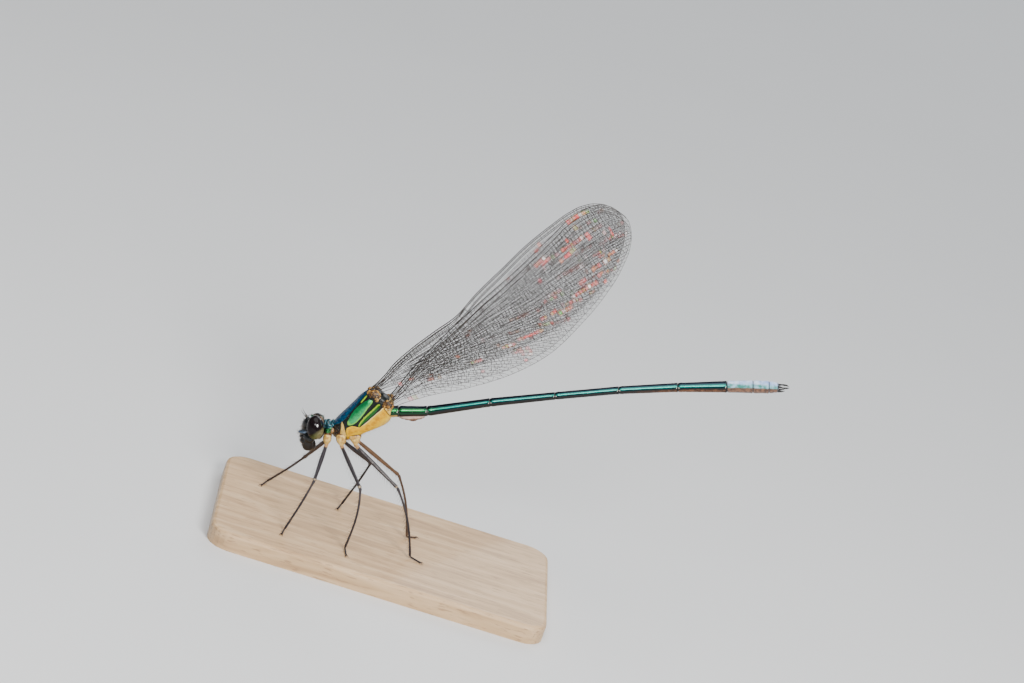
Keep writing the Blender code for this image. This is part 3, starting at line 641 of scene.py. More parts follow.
def hair_finish(name, dark, pale):
    """Satin bristle, uneven in tone."""
    f = Finish(name)
    return f.paint(Base__Color=f.blend(f.noise(0.25), dark, pale),
                   Roughness=0.42 + 0.1 * f.noise(0.1), Coat__Weight=0.2)


# Head

def head_to_world(places):
    """World points for places in the head's own axes."""
    c, s = math.cos(HEAD_ROLL), math.sin(HEAD_ROLL)
    forward, sideways, up = np.moveaxis(np.asarray(places, float), -1, 0)
    sideways, up = sideways * c + up * s, up * c - sideways * s
    c, s = math.cos(HEAD_PITCH), math.sin(HEAD_PITCH)
    return HEAD + np.stack([-c * forward - s * up, sideways, c * up - s * forward], -1)


def head_finish():
    """Glossy black cuticle, blue on the shelf of the face, paled there towards white as a painted
    glint, green on the crown, amber behind the eyes and brown round the mouth."""
    f = Finish("head_cuticle")
    clouds = f.noise(0.35, 4.0)
    shelf, crown, rim, mouth = f.marks("shelf", "crown", "rim", "mouth")
    black = f.blend(clouds, (0.004, 0.005, 0.006), (0.016, 0.017, 0.018))
    # Blue metal of the face shelf; its lighter end is paled towards white as a painted glint
    blue = f.blend(clouds, (0.015, 0.035, 0.065), (0.12, 0.18, 0.26))
    green = f.blend(clouds, (0.003, 0.030, 0.020), (0.012, 0.10, 0.055))
    amber = f.blend(f.noise(0.12), (0.11, 0.045, 0.015), (0.26, 0.13, 0.05))
    brown = f.blend(clouds, (0.006, 0.005, 0.004), (0.020, 0.014, 0.011))
    colour = f.blend(mouth, black, brown)
    colour = f.blend(shelf.rise(0.35, 0.75), colour, blue)
    colour = f.blend(crown.rise(0.3, 0.8), colour, green)
    colour = f.blend(rim, colour, amber)
    metal = (shelf + crown).rise(0.2, 0.9)
    return f.paint(Base__Color=colour, Roughness=0.16 + 0.14 * clouds + 0.2 * rim + 0.12 * mouth,
                   Metallic=0.45 * metal, Specular__IOR__Level=0.22,
                   Coat__Weight=0.12 + 0.4 * metal, Coat__Roughness=0.08,
                   Normal=f.bump(f.noise(0.18, 3.0), 0.015, f.bump(f.cells(0.05), 0.006)))


def make_head():
    """The head's one skin, scored along lip, mouth and chin. Gives its places in the head's own
    axes and in the world's."""
    places, shares = lobed_skin(HEAD_MIDDLE, both_sides(HEAD_LOBES), rows=96, columns=250,
                                blend=15.0)
    forward, sideways, up = np.moveaxis(places, -1, 0)
    off_middle = abs(sideways)
    lip_line = hump(up, -1.60, 0.035) * smooth_step(forward, 1.3, 1.7) * (off_middle < 0.95)
    mouth_line = hump(up, -2.23 - 0.12 * off_middle, 0.045) * smooth_step(forward, 1.2, 1.6)
    chin_line = hump(sideways, 0, 0.035) * smooth_step(up, -2.42, -2.6)
    sunk = 0.06 * lip_line + 0.11 * mouth_line + 0.06 * chin_line
    places = places + unit(np.array(HEAD_MIDDLE) - places) * sunk[..., None]
    rings = head_to_world(places)
    from_eye = np.stack([forward, off_middle - EYE_SIDE, up], -1) / np.array(EYE_RADII)
    behind_eye = hump(np.linalg.norm(from_eye, axis=-1), 1.05, 0.16)
    marks = {
        # shelf: the blue face shelf, which the finish also lightens as a painted glint
        "shelf": shares["shelf"] + 0.4 * shares["lip"],
        "crown": shares["vertex"] + 0.6 * shares["temple"] + 0.5 * shares["socket"],
        "rim": behind_eye * smooth_step(forward, -0.1, -0.5) * smooth_step(up, -0.9, 0.2),
        "mouth": shares["jaw"] + shares["chin"] + shares["palp"],
    }
    piece("head_skin", skin(rings), head_finish(), ["head"],
          {key: capped(values) for key, values in marks.items()})
    return places, rings


def make_head_hairs(places, rings):
    """Brown bristles on brow, face and mouth, and others on the crown and behind the eyes."""
    draw = np.random.default_rng(11)
    forward, sideways, up = np.moveaxis(places, -1, 0)
    normals = grid_normals(rings)
    clear_of_eyes = smooth_step(abs(sideways), 1.35, 1.05)
    levels = hump(up, -0.05, 0.5) * 3 + hump(up, -1.1, 0.6) + 1.3 * hump(up, -2.1, 0.7)
    face = smooth_step(forward, 0.9, 1.4) * clear_of_eyes * levels
    nape = smooth_step(forward, -0.2, -0.6) * smooth_step(up, -0.4, 0.4)
    crown = smooth_step(up, 0.6, 1.0) * clear_of_eyes
    area = np.sin(np.pi * (np.arange(len(places)) + 0.5) / len(places))[:, None]
    for name, weight, count, stand in (("face_hairs", face, 460, 1.0),
                                       ("nape_hairs", nape + crown, 380, 0.8)):
        roots, ways, spots = sprout(rings, normals, weight * area + 1e-9, count, draw,
                                    spread=0.28, lean=(-0.25, 0, 0.15), stand=stand)
        lengths = 0.34 * draw.uniform(0.55, 1.25, count)
        droop = np.array([-0.12, 0.0, -0.22]) + draw.normal(0, 0.08, (count, 3))
        shape, bake = hairs(roots, ways, lengths, thick=0.009, droop=droop, spots=spots)
        piece(name, shape, hair_finish(name, (0.05, 0.032, 0.02), (0.16, 0.11, 0.06)),
              bake=bake)


def eye_finish():
    """Near-black over a mottled olive crescent that rises towards the back, with fine facets,
    and less gloss towards the top."""
    f = Finish("eye_gloss")
    rise, back = f.marks("rise", "back")
    crescent_top = -0.58 + 0.62 * back
    pale = (crescent_top - rise + 0.16 * (f.noise(0.5, 3.0) - 0.5)).rise(-0.18, 0.50)
    olive = f.blend(back.rise(-0.4, 0.8), (0.030, 0.042, 0.008), (0.19, 0.155, 0.078))
    mottled = f.blend(f.noise(0.16, 3.0).rise(0.35, 0.7), olive, (0.080, 0.084, 0.030))
    dark = f.blend(f.noise(0.4), (0.003, 0.002, 0.003), (0.012, 0.007, 0.008))
    upper = 0.12 + 0.88 * (rise - 1.2 * back).rise(0.54, 0.30)
    glossy = (0.06 + 0.94 * (rise + 0.5 * back).rise(-0.35, 0.65)) * upper
    return f.paint(Base__Color=f.blend(pale, dark, mottled), Roughness=0.14 + 0.2 * pale,
                   Specular__IOR__Level=0.10, Coat__Weight=glossy, Coat__Roughness=0.03,
                   Normal=f.bump(f.cells(0.045), 0.0018))


def make_eyes():
    """Compound eyes: ellipsoids in the head's own axes."""
    finish = eye_finish()
    for side, word in SIDES:
        places = sphere_grid(60, 96) * (np.array(EYE_RADII) - 0.01)
        marks = {"rise": capped(places[..., 2]), "back": capped(-places[..., 0])}
        rings = head_to_world(places + np.array([0.0, EYE_SIDE * side, EYE_LEVEL]))
        piece(f"eye_skin_{word}", skin(rings), finish, [f"eye_{word}"], marks)


def make_ocelli():
    """Three small glassy eyes on the crown, pale grey-white as painted glints."""
    f = Finish("ocellus_glass")
    # Pale grey-white glass: a painted glint
    glass = f.blend(f.noise(0.1), (0.40, 0.44, 0.52), (0.82, 0.84, 0.88))
    finish = f.paint(Base__Color=glass, Roughness=0.08 + 0.05 * f.noise(0.2), Coat__Weight=1.0)
    for k, centre in enumerate(OCELLI):
        places = sphere_grid(14, 24) * OCELLUS_RADIUS + np.array(centre)
        piece(f"ocellus_{k + 1}", skin(head_to_world(places)), finish)


def make_antennae():
    """Feelers: a thick stalk joint, a slimmer one and a ringed bristle, slightly bowed."""
    f = Finish("antenna_satin")
    brown = f.blend(f.mark("along").rise(0.25, 0.6), (0.035, 0.028, 0.022),
                    (0.012, 0.011, 0.010))
    finish = f.paint(Base__Color=brown, Roughness=0.30 + 0.2 * f.noise(0.15), Coat__Weight=0.3)
    share = np.linspace(0, 1, 64)
    radius = np.interp(share, (0, .02, .10, .13, .15, .33, .36, .38, .7, 1),
                       (.13, .14, .13, .08, .095, .08, .05, .045, .03, .010))
    radius = radius * (1 + 0.10 * np.sin(share * 120) * (share > 0.38))
    bow = np.array([0.10, 0.02, -0.02]) * (4 * share * (1 - share))[:, None]
    for side, word in SIDES:
        path = ANTENNA_FOOT + (ANTENNA_TIP - ANTENNA_FOOT) * share[:, None] + bow
        path = head_to_world(path * np.array([1, side, 1]))
        piece(f"feeler_{word}", rods(path[None], radius[None], 12), finish,
              [f"antenna_{word}"], {"along": np.concatenate([np.repeat(share, 12), [0, 1]])})


# Prothorax, synthorax and wing bases

def collar_finish():
    """Mottled blue-green metal above, bright green side lobes, amber hind corners, a brown neck
    and black seams."""
    f = Finish("collar_metal")
    clouds = f.noise(0.3, 3.0)
    neck, sides, top, amber, seam = f.marks("neck", "side", "top", "amber", "seam")
    blue = f.blend(f.noise(0.2, 4.0).rise(0.36, 0.64), (0.001, 0.018, 0.030),
                   (0.008, 0.15, 0.20))
    green = f.blend(clouds.rise(0.3, 0.7), (0.003, 0.080, 0.022), (0.055, 0.46, 0.11))
    colour = f.blend(top, (0.004, 0.007, 0.007), blue)
    colour = f.blend(sides.rise(0.5, 0.9), colour, green)
    colour = f.blend(amber.rise(0.4, 0.8), colour,
                     f.blend(clouds, (0.12, 0.045, 0.012), (0.42, 0.24, 0.09)))
    colour = f.blend(neck.rise(0.4, 0.8), colour, (0.11, 0.075, 0.04))
    colour = f.blend(seam.rise(0.55, 0.95), colour, (0.005, 0.006, 0.006))
    return f.paint(Base__Color=colour, Roughness=0.26 + 0.16 * f.noise(0.5, 3.0) + 0.1 * amber,
                   Metallic=0.75 * (neck + amber + seam).rise(0.9, 0.3), Coat__Weight=0.5,
                   Coat__Roughness=0.1,
                   Normal=f.bump(f.noise(0.12, 3.0), 0.015, f.bump(f.cells(0.035), 0.004)))


def make_collar():
    """Prothorax: neck, front collar, rounded middle lobes, a standing hind edge and sides."""
    places, shares = lobed_skin((-11.5, 0.0, 14.75), both_sides(COLLAR_LOBES), rows=60,
                                columns=140, blend=22.0, reach=2.2)
    marks = {key: shares[key] for key in ("neck", "side", "amber", "seam")}
    marks["top"] = np.clip(shares["middle"] + shares["hind"] + shares["front"], 0, 1)
    piece("collar_skin", skin(places), collar_finish(), ["prothorax"],
          {key: capped(values) for key, values in marks.items()})


def slope_axes(x, z):
    """Places along the thorax's slope and across it, for numbers or fields."""
    dx, dz = x - SLOPE_FOOT[0], z - SLOPE_FOOT[1]
    return dx * SLOPE_COS + dz * SLOPE_SIN, dx * SLOPE_SIN - dz * SLOPE_COS


def thorax_rings():
    """Synthorax: level superellipses whose ends and widths are smooth curves of the level,
    drawn in to a rounded end above and below, with plates swelling between sunk seams."""
    turn = np.linspace(0, np.pi / 2, 9)[1:]
    low, high = THORAX[0, 0], THORAX[-1, 0]
    beyond, drawn_in = THORAX_BEYOND * np.sin(turn), THORAX_DRAWN_IN * (1 - np.cos(turn))
    level = np.linspace(low, high, THORAX_ROWS)
    level = np.concatenate([low - beyond[::-1], level, high + beyond])
    inset = np.concatenate([drawn_in[::-1], np.zeros(THORAX_ROWS), drawn_in])
    front, back, half = through(THORAX, np.clip(level, low, high)).T
    angle = 2 * np.pi * np.arange(THORAX_COLUMNS) / THORAX_COLUMNS
    c, s = np.cos(angle), np.sin(angle)
    x = np.sign(c) * abs(c)**THORAX_SQUARENESS
    y = np.sign(s) * abs(s)**THORAX_SQUARENESS
    half_length = ((back - front) / 2 - inset)[:, None]
    rings = np.stack([((front + back) / 2)[:, None] + half_length * x,
                      (half - inset)[:, None] * y, level[:, None] + 0 * x], -1)

    along, across = slope_axes(rings[..., 0], rings[..., 2])
    oval_front, oval_back, stripe_front, wedge_front, wedge_back = (
        straight(SEAMS[name], along)
        for name in ("oval_front", "oval_back", "stripe_front", "wedge_front", "wedge_back"))
    sunk = (0.07 * hump(across, through(SEAMS["shoulder"], along), 0.07)
            + 0.07 * hump(across, through(SEAMS["flank"], along), 0.06)
            + 0.08 * hump(across, (oval_back + stripe_front) / 2, 0.08)
            * smooth_step(along, 1.9, 2.5)
            + 0.07 * hump(along, REAR_SEAM[0] - REAR_SEAM[1] * across, 0.06)
            * smooth_step(across, 0.3, 0.6))
    for line in (wedge_front, wedge_back):
        sunk += 0.05 * hump(across, line, 0.06) * smooth_step(along, 1.85, 1.65)
    sunk *= smooth_step(abs(rings[..., 1]), 0.25, 0.8)
    oval = (across - oval_front) / (oval_back - oval_front + 0.05)
    swell = (0.08 * np.clip(4 * oval * (1 - oval), 0, 1) * smooth_step(along, 1.9, 2.8)
             * smooth_step(along, 6.6, 5.8))
    keel = 0.06 * hump(rings[..., 1], 0, 0.07) * (c < -0.3)
    normal = grid_normals(rings)
    return rings + normal * (swell + keel - sunk - 0.015)[..., None], normal


def thorax_finish():
    """Bands of blue and green metal between black seams over a golden yellow lower side. The green
    oval's lighter lime rim and the lime front edge of the stripe are painted highlights.
    """
    f = Finish("thorax_cuticle")
    along, across = slope_axes(f.axis(0), f.axis(2))
    across = across + 0.05 * (f.noise(0.5, 3.0) - 0.5)
    (shoulder, front, back, stripe, stripe_end, flank, wedge_front, wedge_back) = (
        across - f.bent(along, seam, -3.0, 3.0) for seam in SEAMS.values())
    rear = along + REAR_SEAM[1] * across - REAR_SEAM[0]
    edge = 0.035
    clouds = f.noise(0.45, 4.0)
    mottled = clouds.rise(0.3, 0.7)

    black = f.blend(clouds, (0.003, 0.005, 0.005), (0.011, 0.014, 0.013))
    russet = f.blend(f.noise(0.30, 3.0).rise(0.48, 0.66), black, (0.085, 0.034, 0.012))
    blue = f.blend(f.noise(0.3, 5.0).rise(0.32, 0.68), (0.001, 0.032, 0.11), (0.006, 0.15, 0.31))
    blue = f.blend(shoulder.rise(-0.22, 0.0) * 0.7, blue, (0.002, 0.060, 0.085))
    green = f.blend(clouds, (0.006, 0.30, 0.07), (0.045, 0.58, 0.20))
    # Painted glint: a lighter lime rim along the oval's back edge and lower end
    painted_glint_rim = (back.rise(-0.26, -0.02) + along.rise(2.7, 2.2)).rise(0.1, 0.9)
    green = f.blend(painted_glint_rim, green, (0.20, 0.62, 0.08))
    # Painted highlight: lime along the stripe's front edge, dark green behind it
    gold_with_painted_highlight = f.blend(stripe.rise(0.06, 0.28), (0.34, 0.56, 0.012), (0.005, 0.095, 0.010))
    straw = (0.30, 0.48, 0.03)
    yellow = f.blend(mottled, (0.46, 0.20, 0.0005), (0.72, 0.38, 0.002))
    paler = f.blend(clouds, (0.58, 0.31, 0.002), (0.78, 0.50, 0.02))
    cream = f.blend(mottled, (0.42, 0.24, 0.035), (0.72, 0.50, 0.15))
    lower = f.blend(flank.band(0.30, 1.10, 0.25), paler, yellow)
    lower = f.blend((across - 0.15 * along).rise(0.85, 1.5), lower, cream)
    lower = f.blend(rear.rise(0.0, 0.1), lower, cream)
    lower = f.blend(flank.band(0.0, 0.10, 0.05) * along.rise(3.0, 3.6), lower,
                    (0.86, 0.72, 0.36))

    dorsal = shoulder.rise(0.0, -edge * 2)
    keel = abs(f.axis(1)).rise(0.10, 0.04) * shoulder.rise(-0.2, -0.3)
    oval = front.rise(-edge, edge) * back.rise(edge, -edge) * along.band(2.08, 6.52, 0.05)
    band = stripe.rise(-edge, edge) * stripe_end.rise(edge, -edge) * along.band(2.84, 6.80, 0.06)
    dash = (shoulder - 0.14).band(-0.06, 0.06, 0.025) * along.band(5.35, 6.40, 0.15)
    side = flank.rise(0.0, edge * 2)
    wedge = wedge_front.rise(-edge, edge) * wedge_back.rise(edge, -edge) * along.rise(1.80, 1.70)
    crack = (rear.band(-0.05, 0.05, 0.025) * flank.rise(0.0, 0.1)
             + wedge_back.band(-0.03, 0.03, 0.025) * side).rise(0.0, 1.0)
    colour = black
    for mask, tone in ((dorsal, blue), (keel, black),
                       (along.rise(1.8, 1.5) * shoulder.rise(0.0, 0.1), russet), (oval, green),
                       (band, gold_with_painted_highlight), (dash, straw), (side, lower), (wedge, cream),
                       (crack, f.blend(clouds, black, (0.10, 0.035, 0.012)))):
        colour = f.blend(mask, colour, tone)
    shine = (0.62 * dorsal + 0.85 * oval + 0.6 * band).rise(0.0, 1.0)
    return f.paint(Base__Color=colour, Roughness=0.22 + 0.16 * clouds + 0.22 * side.most(wedge),
                   Metallic=shine, Specular__IOR__Level=0.18, Coat__Weight=0.05 + 0.50 * shine,
                   Coat__Roughness=0.12,
                   Normal=f.bump(f.noise(0.25, 4.0), 0.02, f.bump(f.cells(0.045), 0.005)))


def make_thorax():
    """Synthorax skin and its fine pale hairs."""
    rings, normals = thorax_rings()
    piece("thorax_skin", skin(rings), thorax_finish(), ["thorax"])
    draw = np.random.default_rng(12)
    along, across = slope_axes(rings[..., 0], rings[..., 2])
    below = smooth_step(across, 0.4, 1.2) + smooth_step(along, 1.2, 0.4)
    front = 0.9 * smooth_step(across, -2.1, -2.4)
    weight = (below + front + 0.12) * smooth_step(along, -0.4, 0.2) * smooth_step(along, 6.8, 6.2)
    count = 900
    roots, ways, spots = sprout(rings, normals, weight, count, draw, spread=0.3)
    droop = np.array([0.05, 0.0, -0.2]) + draw.normal(0, 0.1, (count, 3))
    lengths = 0.42 * draw.uniform(0.5, 1.3, count)
    shape, bake = hairs(roots, ways, lengths, thick=0.006, droop=droop, spots=spots)
    piece("thorax_hairs", shape,
          hair_finish("thorax_hairs", (0.20, 0.17, 0.12), (0.42, 0.38, 0.30)), bake=bake)


def hinge_finish():
    """Orange-brown plates and pale knobs between dark folds of skin."""
    f = Finish("wing_hinge")
    tone = f.noise(0.22, 4.0)
    plate = f.ramp(tone, ((0.36, (0.012, 0.005, 0.002)), (0.47, (0.20, 0.085, 0.014)),
                          (0.62, (0.54, 0.30, 0.06))))
    pale = f.blend(tone, (0.22, 0.12, 0.04), (0.66, 0.52, 0.30))
    dark = f.blend(tone, (0.006, 0.004, 0.003), (0.05, 0.022, 0.010))
    colour = f.blend(f.mark("knob").rise(0.4, 0.7), plate, pale)
    colour = f.blend(f.mark("seam").rise(0.45, 0.85).most(f.mark("skin")), colour, dark)
    return f.paint(Base__Color=colour, Roughness=0.38 + 0.2 * tone, Specular__IOR__Level=0.3,
                   Coat__Weight=0.12, Normal=f.bump(f.noise(0.07, 3.0), 0.02))


def make_hinges():
    """Small plates and knobs where the wings spring, with fine pale hairs."""
    finish = hinge_finish()
    hair = hair_finish("hinge_hairs", (0.30, 0.26, 0.20), (0.62, 0.58, 0.50))
    draw = np.random.default_rng(13)
    count = 60
    for pair, lobes in HINGE_LOBES.items():
        middle = next(centre for kind, centre, _radii in lobes if kind == "skin")
        places, shares = lobed_skin(middle, lobes, rows=54, columns=84, blend=17.0, reach=1.4,
                                    steps=90)
        marks = {key: capped(shares[key]) for key in ("seam", "knob", "skin")}
        for side, word in SIDES:
            rings = places * np.array([1.0, side, 1.0])
            piece(f"{pair}_hinge_{word}", skin(rings), finish, marks=marks)
            weight = smooth_step(rings[..., 2], middle[2], middle[2] + 0.3) + 0.02
            roots, ways, spots = sprout(rings, grid_normals(rings), weight, count, draw,
                                        spread=0.3, lean=(0.35, 0.25 * side, 0.5))
            lengths = draw.uniform(0.25, 0.6, count)
            droop = draw.normal(0, 0.12, (count, 3))
            shape, bake = hairs(roots, ways, lengths, thick=0.008, droop=droop, spots=spots)
            piece(f"{pair}_hinge_hairs_{word}", shape, hair, bake=bake)


# Abdomen

def abdomen_joints():
    """Points where the segments meet, from the thorax to the tail."""
    lengths, pitches = ABDOMEN[:, 0], np.radians(ABDOMEN[:, 1])
    steps = np.stack([np.cos(pitches) * lengths, 0 * lengths, np.sin(pitches) * lengths], -1)
    start = np.array([ABDOMEN_START])
    return np.concatenate([start, start + np.cumsum(steps, 0)])


def abdomen_rings(first, last, columns, run_in):
    """Rings of segments first to last: an ellipse whose halves change evenly along each
    segment, waisted between joints, with a raised lip before each joint, a neck behind it and
    two grooves below. The path is the joints' line, blurred round its bends. Gives also marks
    (distance along, distance from the nearest joint, height), the last ring's middle and the
    way it faces."""
    joints = abdomen_joints()
    ends = np.concatenate([[0], np.cumsum(ABDOMEN[:, 0])])
    start, stop = ends[first - 1] - run_in, ends[last]
    base = np.arange(start, stop, RING_STEP)
    fine = (ends[first - 1:last + 1, None] + np.linspace(-0.5, 0.5, 34)).ravel()
    at = np.unique(np.round(np.concatenate([base, fine, [stop]]), 4))
    at = at[(at >= start) & (at <= stop)]
    segment = np.clip(np.searchsorted(ends, at, side="right") - 1, 0, len(ABDOMEN) - 1)
    since = at - ends[segment]
    length = ABDOMEN[segment, 0]
    before = length - since

    path = joints[segment] + unit(np.diff(joints, axis=0))[segment] * since[:, None]
    window = at[:, None] + np.linspace(-BEND_REACH, BEND_REACH, 13)
    blurred = np.stack([np.interp(window, ends, joints[:, k]).mean(1) for k in range(3)], -1)
    inside = smooth_step(at, 0.5, 1.2) * smooth_step(ends[-1] - at, 0.9, 1.2)
    path = path + (blurred - path) * inside[:, None]
    ahead = unit(np.gradient(path, at, axis=0))
    up = np.cross(ahead, SIDEWAYS)

    halves = np.concatenate([[ABDOMEN_START_HALF], ABDOMEN[:, 2:]])
    share = (since / length)[:, None]
    height, width = (halves[segment] * (1 - share) + halves[segment + 1] * share).T - ABDOMEN_INSET
    slim = 0.955 + 0.035 * hump(before, 0.16, 0.14) - 0.075 * hump(before, 0.0, 0.05)
    slim = slim - 0.085 * hump(since, 0.0, 0.13) + 0.03 * hump(since, 0.42, 0.22)
    slim = slim * np.where(at < ends[first - 1] - 0.001, 0.86, 1.0)
    angle = 2 * np.pi * np.arange(columns) / columns
    top, sideways = np.sin(angle)[None, :], np.cos(angle)[None, :]
    groove = 0.085 * (hump(sideways, 0.36, 0.12) + hump(sideways, -0.36, 0.12)) * (top < 0)
    crest = 0.012 * hump(sideways, 0, 0.12) * (top > 0)
    size = slim[:, None] * (1 - groove + crest)
    rings = (path[:, None] + up[:, None] * (height[:, None] * top * size)[..., None]
             + SIDEWAYS * (width[:, None] * sideways * size)[..., None])
    near = np.minimum(since, before) * np.where(since < before, 1, -1)
    marks = {"along": at[:, None] + 0 * size, "joint": near[:, None] + 0 * size,
             "top": top + 0 * size}
    return rings, marks, path[-1], ahead[-1]


def abdomen_finish():
    """A painted highlight, a bright green to teal line, along deep metal, black and mottled brown
    below, dark rings and pale dots at the joints."""
    f = Finish("abdomen_metal")
    along, joint, top = f.marks("along", "joint", "top")
    clouds = f.noise(0.6, 3.0)
    tealness = along.rise(3.5, 8.0)
    green = f.blend(clouds, (0.006, 0.24, 0.05), (0.05, 0.52, 0.14))
    teal = f.blend(clouds, (0.003, 0.22, 0.17), (0.02, 0.46, 0.38))
    deep_green = f.blend(clouds, (0.0006, 0.024, 0.008), (0.002, 0.068, 0.021))
    deep_teal = f.blend(clouds, (0.0003, 0.015, 0.021), (0.0008, 0.044, 0.054))
    deep = f.blend(tealness, deep_green, deep_teal)
    deep = f.blend(top.rise(0.74, 0.92), deep, (0.0006, 0.012, 0.030))
    # Painted highlight: the bright green and teal metal fills only this band just above mid height;
    # the rest is deep
    painted_highlight_band = (top + 0.05 * (f.noise(1.5) - 0.5)).band(0.40, 0.66, 0.13)
    metal = f.blend(painted_highlight_band, deep, f.blend(tealness, green, teal))
    lower = top + 0.10 * (f.noise(0.9, 3.0) - 0.5)
    metal_part = (lower - 0.34 * along.rise(4.6, 6.0)).rise(-0.32, -0.14)
    black = f.blend(clouds, (0.003, 0.004, 0.004), (0.010, 0.009, 0.009))
    umber = f.blend(f.noise(0.4, 5.0).rise(0.3, 0.7), (0.028, 0.011, 0.005),
                    (0.14, 0.060, 0.028))
    mottled_side = (lower + 0.25 * (f.noise(0.35, 4.0) - 0.5)).rise(-0.02, -0.24)
    below = (lower.rise(-0.86, -0.95) * along.rise(30.0, 8.0) * 0.8
             + mottled_side * along.rise(28.0, 38.0))
    ring = joint.band(-0.13, 0.05, 0.04)
    dot = (joint.band(0.05, 0.17, 0.04) * top.band(0.14, 0.36, 0.07) * along.rise(3.5, 6.5)
           + joint.band(-0.24, -0.14, 0.03) * top.band(0.12, 0.34, 0.07)).rise(0.1, 0.9)
    first = along.rise(1.10, 0.9) * lower.rise(-0.25, -0.45)
    colour = f.blend(metal_part, black, metal)
    colour = f.blend(below, colour, umber)
    colour = f.blend(ring, colour, (0.005, 0.006, 0.007))
    colour = f.blend(dot * 0.8, colour, (0.60, 0.60, 0.50))
    colour = f.blend(first, colour, (0.40, 0.26, 0.08))
    soft = below.most(dot + first)
    return f.paint(Base__Color=colour, Roughness=0.28 + 0.10 * clouds + 0.2 * soft,
                   Metallic=(0.92 * metal_part - 0.8 * ring - soft).rise(0.0, 0.9),
                   Specular__IOR__Level=0.25, Coat__Weight=0.05 + 0.45 * metal_part,
                   Coat__Roughness=0.15,
                   Normal=f.bump(f.noise(0.22, 3.0), 0.006, f.bump(f.cells(0.05), 0.003)))


def tail_finish():
    """Pale blue-white bloom, tinged with teal lower down, over a mottled brown underside, with
    a worn border between them."""
    f = Finish("tail_bloom")
    along, joint, top = f.marks("along", "joint", "top")
    clouds = f.noise(0.35, 5.0)
    worn = f.noise(1.1, 5.0)
    bloom = f.blend(f.noise(0.8, 4.0).rise(0.3, 0.7), (0.26, 0.40, 0.70), (0.66, 0.76, 0.92))
    tinged = f.blend(f.noise(0.6, 3.0).rise(0.35, 0.65), (0.025, 0.20, 0.17),
                     (0.26, 0.48, 0.58))
    brown = f.blend(clouds.rise(0.3, 0.7), (0.045, 0.015, 0.006), (0.22, 0.095, 0.045))
    edge = top + 0.34 * (worn - 0.5) + 0.22 * (f.noise(0.4, 3.0) - 0.5)
    dusted = edge.rise(0.02, 0.24)
    bare = 0.7 * worn.rise(0.54, 0.70) * edge.rise(0.7, 0.3) * along.rise(50.0, 52.5)
    colour = f.blend((edge + 0.012 * (along - 47.0)).rise(0.50, 0.86), tinged, bloom)
    colour = f.blend(bare, colour, brown)
    colour = f.blend(edge.band(-0.02, 0.10, 0.06) * 0.8, colour, (0.010, 0.012, 0.014))
    underside = f.blend(edge.rise(-0.55, -0.85), brown, (0.025, 0.013, 0.008))
    colour = f.blend(dusted, underside, colour)
    colour = f.blend(0.85 * joint.band(-0.09, 0.07, 0.035), colour, (0.012, 0.014, 0.022))
    return f.paint(Base__Color=colour, Roughness=0.38 + 0.34 * dusted + 0.1 * clouds,
                   Coat__Weight=0.25 - 0.25 * dusted, Sheen__Weight=0.15,
                   Normal=f.bump(f.noise(0.05, 4.0), 0.010))


def make_abdomen():
    """Long metal skin of segments 1 to 7 and the pale tail of 8 to 10, sunk into each other."""
    for name, first, last, run_in, finish, slot in (
            ("abdomen_skin", 1, TAIL_FROM - 1, 0.5, abdomen_finish(), "abdomen"),
            ("tail_skin", TAIL_FROM, len(ABDOMEN), 0.3, tail_finish(), "tail_tip")):
        rings, marks, end, ahead = abdomen_rings(first, last, 48, run_in)
        if last == len(ABDOMEN):
            rim = end + (rings[-1] - end) * 0.62 + ahead * 0.10
            rings = np.concatenate([rings, rim[None]])
            marks = {key: np.concatenate([values, values[-1:]]) for key, values in marks.items()}
        piece(name, skin(rings), finish,
              [f"abdomen_{k}" for k in range(first, last + 1)],
              {key: capped(values) for key, values in marks.items()})


def make_genitals():
    """Swelling under the second segment: ribbed ellipsoids, a long one with two others in it
    between two flat plates, pale above and brown below."""
    f = Finish("genital_brown")
    tone = f.noise(0.4, 4.0)
    pale = f.blend(tone, (0.34, 0.19, 0.14), (0.70, 0.50, 0.42))
    brown = f.blend(tone, (0.040, 0.015, 0.008), (0.17, 0.07, 0.035))
    colour = f.blend((f.mark("level") + 0.5 * (tone - 0.5)).rise(-0.30, 0.0), brown, pale)
    finish = f.paint(Base__Color=colour, Roughness=0.35 + 0.2 * tone, Coat__Weight=0.3,
                     Normal=f.bump(f.noise(0.1, 3.0), 0.02))
    pitch = math.radians(ABDOMEN[1, 1])
    ahead = np.array([math.cos(pitch), 0.0, math.sin(pitch)])
    axes = np.stack([ahead, SIDEWAYS, np.cross(ahead, SIDEWAYS)])
    middle = np.array([-1.85, 0.0, 19.45])
    parts, levels = [], []
    for centre, radii in (((0.00, 0.0, 0.10), (1.70, 0.36, 0.52)),
                          ((0.10, 0.0, -0.14), (0.72, 0.32, 0.44)),
                          ((-0.60, 0.0, 0.04), (0.60, 0.38, 0.46)),
                          ((-0.20, 0.26, 0.08), (1.15, 0.14, 0.40)),
                          ((-0.20, -0.26, 0.08), (1.15, 0.14, 0.40))):
        local = sphere_grid(24, 40) * np.array(radii)
        local = local * (1 + 0.03 * np.sin(local[..., :1] * 22)) + np.array(centre)
        levels.append(capped(local[..., 2]))
        parts.append(skin(middle + local @ axes))
    piece("genital_lobe", joined(parts), finish,
          marks={"level": np.concatenate(levels)})


# Way (share, ahead, sideways, up from the abdomen's end) and radius of each clasper
CLASPERS = {
    "cercus": (((0, -.20, .30, .20), (.25, .25, .46, .24), (.6, .75, .58, .20),
                (.85, 1.15, .48, .18), (1, 1.42, .26, .14)),
               ((0, .18), (.2, .14), (.45, .095), (.7, .11), (.9, .075), (1, .02))),
    "paraproct": (((0, -.20, .28, -.34), (.4, .30, .34, -.36), (.75, .66, .34, -.33),
                   (1, .90, .26, -.26)),
                  ((0, .17), (.4, .12), (.75, .07), (1, .02))),
}


